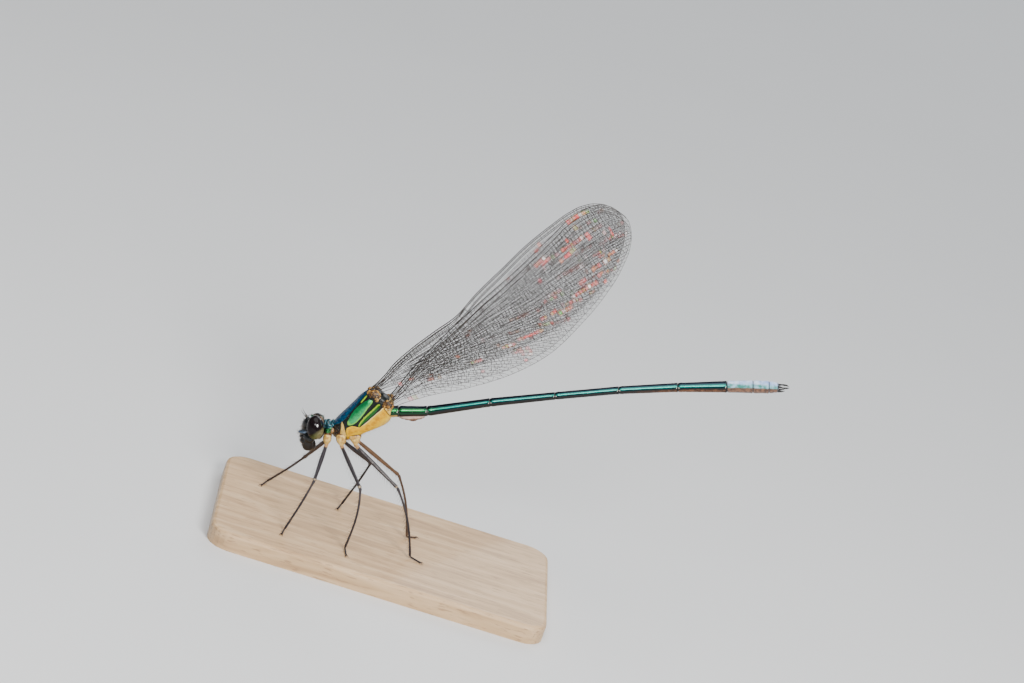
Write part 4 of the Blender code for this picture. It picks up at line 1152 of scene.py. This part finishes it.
def make_claspers():
    """Black hooked upper claspers with a tooth inside, and short lower ones."""
    f = Finish("clasper_black")
    tone = f.noise(0.3, 3.0)
    finish = f.paint(Base__Color=f.blend(tone, (0.003, 0.003, 0.003), (0.016, 0.014, 0.013)),
                     Roughness=0.30 + 0.2 * tone, Specular__IOR__Level=0.3, Coat__Weight=0.15,
                     Normal=f.bump(f.cells(0.07), 0.008))
    joints = abdomen_joints()
    ahead = unit(joints[-1] - joints[-2])
    axes = np.stack([ahead, SIDEWAYS, np.cross(ahead, SIDEWAYS)])
    share = np.linspace(0, 1, 40)
    for name, (route, girth) in CLASPERS.items():
        for side, word in SIDES:
            path = joints[-1] + (through(route, share) * np.array([1, side, 1])) @ axes
            parts = [rods(path[None], through(girth, share)[None], 14)]
            if name == "cercus":
                reach = np.linspace(0, 1, 6)[:, None]
                tooth = path[24] + reach * np.array([0.08, -0.30 * side, -0.06])
                parts.append(rods(tooth[None], np.linspace(0.09, 0.015, 6)[None], 8))
            piece(f"{name}_skin_{word}", joined(parts), finish, [f"{name}_{word}"])


# Wings: t is the share of a wing's length, v the share of the way from its leading to its
# hind edge

def edges_of(name, t):
    """Distance of a wing's two edges from its axis."""
    return through(LEADS[name], t), through(TRAILS[name], t)


def behind_lead(name, away, t):
    """v of a line that runs this far behind the leading edge."""
    lead, trail = edges_of(name, t)
    return through(away, t) / (lead - trail)


def straight_edges(name, t):
    """Edges that the long veins keep to: the wing's own, but near the tip half way between its
    leading edge and a level line, and a straight line behind instead of the rounded tip."""
    lead, trail = edges_of(name, t)
    level = through(LEADS[name], np.minimum(t, LEVEL_FROM))
    before, after = (through(TRAILS[name], STRAIGHT_FROM + step) for step in (-0.01, 0.01))
    slope = (after - before) / 0.02
    line = through(TRAILS[name], STRAIGHT_FROM) + slope * (t - STRAIGHT_FROM)
    lead = np.where(t > LEVEL_FROM, lead + (level - lead) * LEVEL_SHARE, lead)
    return lead, np.where(t > STRAIGHT_FROM, np.minimum(line, trail), trail)


def fan(name, t, end):
    """v of the vein that would meet the hind edge at end: behind the radius vein by
    1 - a (1 - t / end)^p of what is left, with a larger for longer veins."""
    ahead, behind = straight_edges(name, t)
    ahead = ahead - through(RADIUS_AWAY, t)
    hold = np.interp(end, (0.12, 0.5, 1.0, 1.45), (0.42, 0.74, 0.90, 0.985))
    rest = np.clip(1 - t / end, 0, 1)**VEIN_CURVE
    place = ahead - (ahead - behind) * (1 - hold * rest)
    lead, trail = edges_of(name, t)
    return (lead - place) / (lead - trail)


def vein_stop(name, end, start):
    """Where a long vein first meets the wing's outline or the radius vein."""
    t = np.linspace(start, min(end, 1.0), 500)
    v = fan(name, t, end)
    met = (v > 1) | (v < 0.6 * behind_lead(name, RADIUS_AWAY, t))
    return t[np.argmax(met)] if met.any() else t[-1]


def wing_place(name, side, t, v, lift=0.0):
    """Point of a wing: root + along t length + across (lead + (trail - lead) v), with pleats
    that rise and fall from one main vein to the next and fade towards the tip and edge."""
    (root_x, root_z), angle, length, at_root, beyond = WINGS[name]
    angle = math.radians(angle)
    along = np.array([math.cos(angle), 0.0, math.sin(angle)])
    across = np.array([-math.sin(angle), 0.0, math.cos(angle)])
    lead, trail = edges_of(name, t)
    point = np.array([root_x, 0.0, root_z]) + along * (t * length)[..., None]
    point = point + across * (lead + (trail - lead) * v)[..., None]
    place = np.stack([fan(name, t, end) for end in MAIN_VEINS])
    place = np.concatenate([0 * place[:1], place[:1] * 0.5, place, 1 + 0 * place[:1]])
    place = np.clip(place, 0, 1)
    k = np.clip((v[None] > place).sum(0) - 1, 0, len(place) - 2)
    low = np.take_along_axis(place, k[None], 0)[0]
    high = np.take_along_axis(place, k[None] + 1, 0)[0]
    phase = k + np.clip((v - low) / np.maximum(high - low, 1e-6), 0, 1)
    fade = smooth_step(t, 1.0, 0.3) * smooth_step(v, 1.0, 0.5) * smooth_step(t, 0.02, 0.12)
    middle = at_root + (beyond - at_root) * smooth_step(t, 0, 0.2)
    point[..., 1] = side * (middle + PLEAT * np.cos(np.pi * phase) * fade + lift)
    return point


def vein_tracks(name):
    """Long veins as their hind end, first place, rank and stop: main ones, then at each place
    where the gap between two neighbours grows past the widest one, a new one between them,
    whose end is the harmonic mean of theirs. The radius vein counts as one without an end."""
    length = WINGS[name][2]
    t = np.linspace(0, 1, 500)
    lead, trail = edges_of(name, t)
    chord = lead - trail
    veins = [(end, start, 0) for end, start in zip(MAIN_VEINS, VEIN_STARTS)]
    for rank in range(1, len(VEIN_RADII)):
        veins.sort(key=lambda vein: -vein[0])
        new = []
        pairs = zip([(NO_END, 0.0, 0)] + veins, veins + [(0.10, 0.0, 0)])
        for (end, start, _r), (next_end, next_start, _s) in pairs:
            middle = 2 / (1 / end + 1 / next_end)
            upper, lower = fan(name, t, end), np.minimum(fan(name, t, next_end), 1.0)
            slant = np.gradient(lead - chord * upper, t * length)
            gap = (lower - upper) * chord / np.sqrt(1 + slant**2)
            wide = (gap > WIDEST_GAP) & (t > max(start, next_start)) & (t < min(middle, 0.99))
            if wide.any():
                first = t[np.argmax(wide)]
                if first < vein_stop(name, middle, first) - SHORTEST_VEIN:
                    new.append((middle, first, rank))
        if not new:
            break
        veins += new
    veins.sort(key=lambda vein: -vein[0])
    return [(end, start, rank, vein_stop(name, end, start)) for end, start, rank in veins]


def vein_net(name, side, draw):
    """Every vein of a wing as tubes, where each of their points lies on the bake's map, and the
    corners of the net's cells with how strong a painted glint each gets."""
    length = WINGS[name][2]
    shapes, spots, crossveins, girths, cells, painted_glints = [], [], [], [], [], []

    def add(t, v, radius, sides):
        """Tubes along rows of places."""
        shapes.append(rods(wing_place(name, side, t, v), radius, sides, (0.0, 1.0, 0.02)))
        where = np.stack([t, v], -1) * (1 - 4 * PATCH) + PATCH
        ring = np.stack([np.zeros(sides), np.arange(sides) / (sides - 1)], -1) * PATCH
        rings = (where[:, :, None] + ring).reshape(len(t), -1, 2)
        spots.append(np.concatenate([rings, where[:, :1], where[:, -1:]], 1).reshape(-1, 2))

    def long_vein(t, v, radius, sides=5):
        """One tube; the radius is one number for each of its points."""
        add(t[None], v[None], radius[None], sides)

    t = np.linspace(WING_FROM, 1, 150)
    long_vein(t, 0 * t, np.interp(t, (0, .1, .41, .9, 1), (.076, .068, .058, .044, .030)), 8)
    long_vein(t, 1 + 0 * t, np.interp(t, (0, .1, 1), (.042, .026, .024)))
    long_vein(1 + 0 * t[:12], np.linspace(0, 1, 12), np.full(12, 0.027))
    long_vein(t, behind_lead(name, RADIUS_AWAY, t),
              np.interp(t, (0, .1, .9, 1), (.062, .050, .036, .022)), 6)
    before = np.linspace(WING_FROM, NODUS, 60)
    long_vein(before, behind_lead(name, SUBCOSTA_AWAY, before), np.linspace(.044, .034, 60))
    tracks = vein_tracks(name)
    for end, start, rank, stop in tracks:
        steps = max(int((stop - start) * length / 0.34), 4)
        at = stop - (stop - start) * np.linspace(1, 0, steps)**1.35
        thick = VEIN_RADII[rank]
        long_vein(at, np.minimum(fan(name, at, end), 1.0),
                  np.linspace(thick, min(thick, 0.020), steps), 5 if rank == 0 else 4)

    def rungs(upper, lower, start, stop, spacing, girth=RUNG_RADIUS, painted_glint=None):
        """Crossveins between two long ones, unevenly spaced and about square to the upper one; the
        cells between them get painted glints round a place along."""
        places = np.arange(start, stop, spacing / length)
        places = places + draw.uniform(-0.22, 0.22, len(places)) * spacing / length
        places = places[(places > start + 0.002) & (places < stop)]
        if not len(places):
            return
        a, b = upper(places), lower(places)
        lead, trail = edges_of(name, places)
        chord, rise = lead - trail, 0 * a
        if len(places) > 1:
            rise = np.gradient(lead - chord * a, places * length)
        foot = np.clip(places + rise * (b - a) * chord / length * 0.75, 0.003, 0.997)
        b = np.minimum(lower(foot), 1.0)
        ends = np.stack([np.stack([places, a], -1), np.stack([foot, b], -1)], 1)
        crossveins.append(ends)
        girths.append(girth * (1.35 - 0.35 * smooth_step(places, 0.25, 0.55)))
        if painted_glint is not None and len(places) > 1:
            cells.append(np.stack([ends[:-1, 0], ends[1:, 0], ends[1:, 1], ends[:-1, 1]], 1))
            strong, focus, width = painted_glint
            painted_glints.append(strong * hump(cells[-1][:, :, 0].mean(1), focus, width))

    def costa(at):
        """v of the vein along the leading edge."""
        return 0 * at

    def hind_edge(at):
        """v of the vein along the hind edge."""
        return 1 + 0 * at

    def radius_vein(at):
        """v of the radius vein."""
        return behind_lead(name, RADIUS_AWAY, at)

    def subcosta(at):
        """v of the vein between leading edge and radius."""
        return behind_lead(name, SUBCOSTA_AWAY, at)

    def fanned(end):
        """v of the vein that would meet the hind edge at end, as a function of t."""
        return lambda at: fan(name, at, end)

    rungs(costa, subcosta, 0.03, NODUS - 0.02, spacing=0.50, girth=0.030)
    rungs(subcosta, radius_vein, 0.03, NODUS - 0.01, spacing=0.50, girth=0.030)
    rungs(costa, radius_vein, NODUS + 0.006, 0.99, spacing=0.52, girth=0.028)
    grid = np.linspace(0, 1, 500)
    ranked = [(None, 0.0, 0, 0.99)] + tracks
    for k, (end, start, _rank, stop) in enumerate(ranked):
        upper = radius_vein if end is None else fanned(end)
        stop = min(stop, 0.992)
        # Strength, place along and width of this row's painted glints
        painted_glint = (draw.random()**1.5, stop - draw.uniform(0.02, 0.34), draw.uniform(0.02, 0.06))
        # The nearest vein below at each place: its number, -1 for the hind edge, -2 for none
        below = ranked[k + 1:]
        nearest = np.full(len(grid), -1)
        for j, (_end, low_start, _r, low_stop) in enumerate(below):
            nearest[(nearest == -1) & (grid >= low_start) & (grid <= low_stop)] = j
        nearest[(grid < max(start, 0.04)) | (grid > stop)] = -2
        for run in np.split(np.arange(len(grid)), np.flatnonzero(np.diff(nearest)) + 1):
            j = nearest[run[0]]
            if j == -2 or len(run) < 3:
                continue
            lower = hind_edge if j == -1 else fanned(below[j][0])
            rungs(upper, lower, grid[run[0]], grid[run[-1]], CROSS_SPACING, painted_glint=painted_glint)
    ends = np.concatenate(crossveins)
    add(ends[..., 0], ends[..., 1], np.concatenate(girths)[:, None], 4)
    return joined(shapes), np.concatenate(spots), np.concatenate(cells), np.concatenate(painted_glints)


def painted_glints_at(name, cells, painted_glints, t, v, draw):
    """Painted glint and tint of points of the film: those of the glinting cell that a point lies
    in, which is a box round the cell's middle as long and as wide as the cell's sides are."""
    count = len(painted_glints)
    painted_glints = painted_glints * draw.uniform(0.2, 1.0, count) + 0.5 * (draw.random(count) < 0.006)
    middle = cells.mean(1)
    sides = abs(cells - np.roll(cells, -1, 1))
    half_long = (sides[:, 0, 0] + sides[:, 2, 0]) / 4
    half_wide = (sides[:, 1, 1] + sides[:, 3, 1]) / 4
    lead, trail = edges_of(name, middle[:, 0])
    size = 2 * np.maximum(half_long * WINGS[name][2], half_wide * (lead - trail))
    kept = (painted_glints > FAINTEST_PAINTED_GLINT) & (size < WIDEST_PAINTED_GLINT)
    tints = draw.random(count)[kept]
    inside = ((abs(t.ravel() - middle[kept, :1]) < half_long[kept, None])
              & (abs(v.ravel() - middle[kept, 1:]) < half_wide[kept, None]))
    first = inside.argmax(0)
    return {"painted_glint": np.where(inside.any(0), painted_glints[kept][first], 0).reshape(t.shape),
            "tint": tints[first].reshape(t.shape)}


def membrane(name, side, cells, painted_glints, draw):
    """The wing's skin: a closed thin sheet between the two edges, as far out as the tip, and how
    strong a painted glint each of its points has and in which tint."""
    t = WING_FROM + (1 - WING_FROM) * (1 - (1 - np.linspace(0, 1, 236))**1.15)
    t, v = np.meshgrid(t, np.linspace(0, 1, 72), indexing="ij")
    upper, lower = (wing_place(name, side, t, v, lift) for lift in (MEMBRANE / 2, -MEMBRANE / 2))
    marks = {key: capped(np.concatenate([values, values[:, ::-1]], 1))
             for key, values in painted_glints_at(name, cells, painted_glints, t, v, draw).items()}
    return skin(np.concatenate([upper, lower[:, ::-1]], 1)), marks


def membrane_finish():
    """Clear, faintly smoky film; single cells of it carry painted red, orange, green or white
    glints.
    """
    f = Finish("wing_membrane")
    painted_glint, tint = f.marks("painted_glint", "tint")
    # Colours of the painted glints
    hue = f.ramp(tint, ((0.0, (0.95, 0.03, 0.05)), (0.36, (1.0, 0.12, 0.09)),
                        (0.52, (1.0, 0.30, 0.03)), (0.64, (0.08, 0.62, 0.10)),
                        (0.74, (0.90, 0.06, 0.14)), (0.93, (0.95, 0.90, 0.90))))
    smoke = f.blend(f.noise(4.0, 3.0), (0.030, 0.026, 0.026), (0.075, 0.064, 0.058))
    return f.paint(Base__Color=f.blend(painted_glint.rise(0.02, 0.10), smoke, hue),
                   Roughness=0.18 + 0.12 * f.noise(0.7), Metallic=0.1 * painted_glint,
                   Alpha=FILM_COVER + 0.016 * f.noise(2.0, 3.0) + 0.50 * painted_glint,
                   Coat__Weight=0.3 + 0.5 * painted_glint, Coat__Roughness=0.08,
                   Normal=f.bump(f.noise(0.5), 0.02))


def vein_finish():
    """Satin black-brown vein, uneven in tone."""
    f = Finish("wing_vein")
    tone = f.noise(0.8, 3.0)
    return f.paint(Base__Color=f.blend(tone, (0.010, 0.008, 0.007), (0.035, 0.024, 0.018)),
                   Roughness=0.32 + 0.15 * tone, Coat__Weight=0.3)


def make_wings():
    """Four folded wings: film and net of veins, the hind pair outside the fore pair."""
    film, vein = membrane_finish(), vein_finish()
    draw = np.random.default_rng(21)
    for name in WINGS:
        for side, word in SIDES:
            shape, bake, cells, painted_glints = vein_net(name, side, draw)
            piece(f"{name}_veins_{word}", shape, vein, bake=bake)
            sheet, marks = membrane(name, side, cells, painted_glints, draw)
            piece(f"{name}_film_{word}", sheet, film, [f"{name}_{word}"], marks)


# Legs

def leg_finish():
    """Satin brown-black with fine pale dots on the outer face that are painted glints, a lighter
    top of the shin on its outer side that is a painted sheen, and a pale knee, browner where the
    mark says so. The mark along is 0 to 1 on the thigh, 1.2 to 2.2 on the shin and 3 to 4 on the
    foot."""
    f = Finish("leg_brown")
    along, outer, warm = f.marks("along", "outer", "warm")
    tone = f.noise(0.4, 4.0)
    dark = f.blend(tone, (0.008, 0.006, 0.009), (0.034, 0.027, 0.033))
    umber = f.blend(tone, (0.045, 0.021, 0.010), (0.17, 0.090, 0.044))
    colour = f.blend(warm, dark, umber)
    # Painted sheen: the shin's top is lighter on its outer side
    shin_top = along.band(1.2, 1.5, 0.2) * outer.rise(0.3, 0.9)
    colour = f.blend(shin_top * 0.3, colour, (0.10, 0.085, 0.09))
    # Painted glints: fine pale dots along the outer face
    painted_glint_dots = outer.rise(0.86, 0.97) * f.noise(0.11, 1.0).rise(0.50, 0.60)
    colour = f.blend(0.6 * painted_glint_dots * along.band(0.10, 0.96, 0.05), colour, (0.36, 0.32, 0.30))
    knee = along.band(0.975, 1.03, 0.015) * outer.rise(0.2, 0.6)
    colour = f.blend(knee * 0.8, colour, (0.42, 0.33, 0.22))
    return f.paint(Base__Color=colour, Roughness=0.36 + 0.2 * tone, Specular__IOR__Level=0.3,
                   Coat__Weight=0.12, Coat__Roughness=0.2,
                   Normal=f.bump(f.noise(0.09, 3.0), 0.010))


def coxa_finish():
    """Cream-yellow with brown seams, spots and rims, and brown flanks that are darkened also as
    painted shade for roundness; the joint below is a browner peach. The mark low is 0 to 1 down the
    coxa and 1 to 1.3 on the joint."""
    f = Finish("coxa_cream")
    low, seam, rim = f.marks("low", "seam", "rim")
    tone = f.noise(0.4, 4.0)
    cream = f.blend(tone.rise(0.3, 0.7), (0.40, 0.20, 0.030), (0.76, 0.53, 0.16))
    peach = f.blend(tone, (0.22, 0.10, 0.030), (0.54, 0.32, 0.13))
    brown = f.blend(tone, (0.025, 0.010, 0.004), (0.14, 0.055, 0.016))
    colour = f.blend(low.rise(0.96, 1.06), cream, peach)
    spots = f.noise(0.55).rise(0.56, 0.72) * low.band(0.18, 0.90, 0.1)
    rims = low.band(0.93, 1.0, 0.02) + low.rise(1.22, 1.30) + low.rise(0.18, 0.10)
    # Flanks: brown at the coxa's front and back, darkened there also as painted shade for roundness
    flank_brown_and_shade = 0.8 * (rim + 0.3 * (tone - 0.5)).rise(0.72, 0.98)
    colour = f.blend((0.7 * seam + 0.6 * spots + rims + flank_brown_and_shade).rise(0.1, 0.9), colour, brown)
    return f.paint(Base__Color=colour, Roughness=0.34 + 0.2 * tone, Specular__IOR__Level=0.4,
                   Coat__Weight=0.3, Coat__Roughness=0.1,
                   Normal=f.bump(f.noise(0.12, 3.0), 0.02))


def make_coxa(name, top, hip, knee, side, finish):
    """Coxa: oval rings on the way from the body to the hip, with two sunk seams down its outer
    face and a waist, then a two-part round joint that turns to the thigh."""
    share, angle = np.linspace(0, 1, 44)[:, None], 2 * np.pi * np.arange(36) / 36
    way = unit(hip - top)
    fore = unit(np.array([1.0, 0.0, 0.0]) - way * way[0])
    out = np.cross(way, fore)
    out = out * np.sign(out[1] * side)
    c, s = np.cos(angle)[None], np.sin(angle)[None]
    seam = (0.8 * hump(c, 0.35 - 0.5 * share, 0.10) + 0.6 * hump(c, -0.62, 0.08)) * (s > 0)
    seam = seam * smooth_step(share, 0.08, 0.2) * smooth_step(share, 0.95, 0.8)
    belt = 1 - 0.10 * hump(share, 0.15, 0.035) - 0.10 * hump(share, 0.95, 0.03)
    size = belt * (1 - 0.10 * seam)
    path = top + (hip - top) * (share * 1.04 - 0.02)
    lengthwise = through(COXA_LENGTHWISE[name.split("_")[0]], share)
    rings = (path[:, None] + fore * (lengthwise * c * size)[..., None]
             + out * (through(COXA_SIDEWAYS, share) * s * size)[..., None])
    bead = np.linspace(0, 1, 24)[:, None]
    joint = hip + unit(knee - hip) * (bead * 0.80 - 0.22) - way * (0.05 * (1 - bead))
    shapes = [skin(rings), rods(joint[None], through(HIP_JOINT, bead[:, 0])[None], 24)]
    plain = np.zeros(24 * 24 + 2)
    low = np.concatenate([np.repeat(1.0 + 0.3 * bead, 24), [1.0, 1.3]])
    piece(f"coxa_skin_{name}", joined(shapes), finish, [f"coxa_{name}"],
          {"low": np.concatenate([capped(share + 0 * seam), low]),
           "seam": np.concatenate([capped(seam), plain]),
           # rim: how far towards the coxa's front or back a point lies, where its finish paints
           # brown and shade
           "rim": np.concatenate([capped(abs(c) + 0 * seam), plain])})


def make_leg(name, joints, finishes):
    """Coxa, thigh, shin, three foot joints and claws, with spines and hairs. The shin is bowed
    by the sine of the way along, and each claw rises and falls."""
    top, hip, knee = (np.array(p, float) for p in joints[:3])
    ankle, toe = np.array([*joints[3], ANKLE_LEVEL]), np.array([*joints[4], TOE_LEVEL])
    side = -1 if "left" in name else 1
    coxa_skin, leg_skin, spine_skin = finishes
    make_coxa(name, top, hip, knee, side, coxa_skin)
    outward = unit(np.array([0.0, side, 0.35]))
    warm = WARM_LEGS.get(name, 0.0)
    parts, marks = [], {"along": [], "outer": [], "warm": []}

    def add(path, girth, share, offset, warmth):
        """Tube along a path, with its marks: the way along, how far each point faces outward,
        and how warm its brown is."""
        points, faces = rods(path[None], through(girth, share)[None], LEG_SIDES)
        ring = points[:-2].reshape(len(share), LEG_SIDES, 3) - path[:, None]
        parts.append((points, faces))
        marks["along"].append(np.concatenate([np.repeat(share, LEG_SIDES), [0, 1]]) + offset)
        marks["outer"].append(np.concatenate([(unit(ring) * outward).sum(-1).ravel(), [0, 0]]))
        marks["warm"].append(np.full(len(points), warmth))

    bead, share = np.linspace(0, 1, 14), np.linspace(0, 1, 60)
    thigh = hip + (knee - hip) * share[:, None]
    add(thigh, THIGH, share, 0.0, warm)
    shin_top = knee - unit(ankle - knee) * 0.05
    bow = np.array([joints[5], 0, 0]) * np.sin(np.pi * share**0.85)[:, None]
    shin = shin_top + (ankle - shin_top) * share[:, None] + bow
    add(shin, SHIN, share, 1.2, warm * 0.6)
    foot = [ankle, *(ankle + (toe - ankle) * part for part in FOOT_PARTS), toe]
    way = unit(toe - ankle)
    for a, b in zip(foot, foot[1:]):
        add(a - way * 0.05 + (b - a + way * 0.08) * bead[:, None], FOOT_JOINT, bead, 3.0,
            warm * 0.4)
    across = unit(np.cross(way, UPWARDS))
    lift = (0.16 * np.sin(np.pi * bead * 0.9) - 0.13 * bead)[:, None]
    for hand in (-1, 1):
        out = way * 0.86 + across * 0.42 * hand
        claw = toe - way * 0.1 + out * (0.55 * bead)[:, None] + UPWARDS * lift
        add(claw, CLAW, bead, 3.0, 0.3)
    piece(f"leg_skin_{name}", joined(parts), leg_skin,
          [f"{part}_{name}" for part in ("femur", "tibia", "tarsus")],
          {key: np.concatenate(values) for key, values in marks.items()})
    make_spines(name, (thigh, shin), (ankle - knee, hip - knee), spine_skin)


def make_spines(name, paths, flexors, finish):
    """Two rows of long fine spines on the inner side of thigh and shin, leaning to the foot,
    and short hairs all round."""
    draw = np.random.default_rng(sum(map(ord, name)))
    groups = []
    for part, (path, flexor) in enumerate(zip(paths, flexors)):
        measured = np.concatenate([[0], np.cumsum(np.linalg.norm(np.diff(path, axis=0), axis=1))])
        total = measured[-1]
        way = unit(path[-1] - path[0])
        inward = unit(flexor - way * (flexor @ way))
        other = np.cross(way, inward)
        for row, spacing, size, stem in SPINE_ROWS:
            at = np.arange(0.35, total - 0.3, spacing)
            at = at + draw.uniform(-0.3, 0.3, len(at)) * spacing
            root = np.stack([np.interp(at, measured, path[:, k]) for k in range(3)], -1)
            if row:
                angle = SPINE_TURN * row + draw.normal(0, 0.07, len(at))
                lean = SPINE_LEAN + draw.normal(0, 0.05, len(at))
                shrink = np.interp(at / total, (0, .2, .8, 1), (.6, 1, 1, .6))
            else:
                angle = draw.uniform(-np.pi, np.pi, len(at))
                lean = np.full(len(at), HAIR_LEAN)
                shrink = 1.0
            out = np.cos(angle)[:, None] * inward + np.sin(angle)[:, None] * other
            groups.append((
                root + out * SPINE_FEET[part],
                way * np.cos(lean)[:, None] + out * np.sin(lean)[:, None],
                size * shrink * draw.uniform(0.85, 1.1, len(at)), np.full(len(at), stem),
                way * 0.12 + 0 * out, np.stack([0.25 + 0.5 * part + angle / 13.0, at / total], -1)))
    shape, bake = hairs(*(np.concatenate(group) for group in zip(*groups)), sides=4)
    piece(f"leg_spines_{name}", shape, finish, bake=bake)


def make_legs():
    """All six legs."""
    spines = hair_finish("leg_spines", (0.012, 0.010, 0.010), (0.05, 0.042, 0.038))
    finishes = (coxa_finish(), leg_finish(), spines)
    for name, joints in LEGS.items():
        make_leg(name, joints, finishes)


# Base, floor, light and camera

def dress_base():
    """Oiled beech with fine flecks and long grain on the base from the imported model."""
    f = Finish("base_beech")

    def grain(scale, detail, distortion):
        """Noise that is stretched along the base."""
        stretched = f.node("Mapping", {}, {"Vector": f.place, "Scale": scale})
        return f.node("TexNoise", {}, {"Vector": stretched, "Scale": 1.0, "Detail": detail,
                                       "Distortion": distortion})

    lines = grain((90.0, 900.0, 900.0), 6.0, 0.6)
    fleck = grain((500.0, 4200.0, 4200.0), 2.0, 0.0).rise(0.60, 0.68)
    colour = f.ramp(lines, ((0.30, (0.42, 0.26, 0.13)), (0.50, (0.56, 0.37, 0.20)),
                            (0.70, (0.66, 0.47, 0.28))))
    colour = f.blend(0.55 * fleck, colour, (0.27, 0.15, 0.07))
    finish = f.paint(Base__Color=colour, Roughness=0.42 + 0.16 * lines, Coat__Weight=0.15,
                     Normal=f.bump(lines + 0.4 * fleck, 0.03))
    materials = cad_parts["stand_base"].data.materials
    materials.clear()
    materials.append(finish)


def make_floor():
    """Wide pale floor with a very faint tone."""
    f = Finish("floor_pale")
    pale = f.blend(f.noise(60.0), (0.66, 0.67, 0.68), (0.70, 0.71, 0.72))
    mesh = bpy.data.meshes.new("floor")
    far = 2500.0 * MM
    mesh.from_pydata([(-far, -far, 0), (far, -far, 0), (far, far, 0), (-far, far, 0)], [],
                     [(0, 1, 2, 3)])
    mesh.materials.append(f.paint(Base__Color=pale, Roughness=0.75))
    floor = added(bpy.data.objects.new("floor", mesh))


def view_axes():
    """Right, up and ahead of the camera."""
    right = np.array([math.cos(VIEW_TURN), math.sin(VIEW_TURN), 0.0])
    ahead = np.array([-math.sin(VIEW_TURN) * math.cos(VIEW_TILT),
                      math.cos(VIEW_TURN) * math.cos(VIEW_TILT), -math.sin(VIEW_TILT)])
    up = np.cross(right, ahead)
    c, s = math.cos(VIEW_ROLL), math.sin(VIEW_ROLL)
    return c * right + s * up, c * up - s * right, ahead


def turned(right, up, back, place):
    """World matrix from three axes and a place in millimetres."""
    matrix = np.eye(4)
    matrix[:3, :3] = np.stack([right, up, back], -1)
    matrix[:3, 3] = place * MM
    return matrix.T.tolist()


def make_camera():
    """Camera at the photo's viewing angle."""
    right, up, ahead = view_axes()
    data = bpy.data.cameras.new("camera")
    data.lens = LENS
    data.sensor_width = 36.0
    data.clip_start, data.clip_end = 0.01, 10.0
    camera = added(bpy.data.objects.new("camera", data))
    camera.matrix_world = turned(right, up, -ahead, LOOK_AT - ahead * VIEW_AWAY)
    bpy.context.scene.camera = camera


def light_scene():
    """Soft round lights that face the insect (a key light and a weaker one by the camera, a
    wide one overhead, one behind) and an even pale surround."""
    right, up, ahead = view_axes()
    white = (1.0, 1.0, 1.0)
    for name, place, size, power, colour in (
            ("key", LOOK_AT - ahead * 360 + up * 66 + right * 200, 150, 2.4, (1.0, 0.98, 0.95)),
            ("front", LOOK_AT - ahead * 360 + up * 125 - right * 18, 105, 0.45, white),
            ("overhead", np.array([-60.0, -40.0, 420.0]), 420, 1.4, white),
            ("behind", np.array([200.0, 560.0, 420.0]), 442, 2.0, (0.94, 0.97, 1.0))):
        data = bpy.data.lights.new(name, "AREA")
        data.shape = "DISK"
        data.size = size * MM
        data.energy = power
        data.color = colour
        back = unit(place - LOOK_AT)
        level = unit(np.cross(UPWARDS, back))
        lamp = added(bpy.data.objects.new(name, data))
        lamp.matrix_world = turned(level, np.cross(back, level), back, place)
    world = bpy.data.worlds.new("surround")
    bpy.context.scene.world = world
    world.use_nodes = True
    surround = world.node_tree.nodes["Background"].inputs
    surround["Color"].default_value = (0.93, 0.96, 1.0, 1.0)
    surround["Strength"].default_value = 0.13


make_head_hairs(*make_head())
make_eyes()
make_ocelli()
make_antennae()
make_collar()
make_thorax()
make_hinges()
make_abdomen()
make_genitals()
make_claspers()
make_wings()
make_legs()
dress_base()
make_floor()
make_camera()
light_scene()
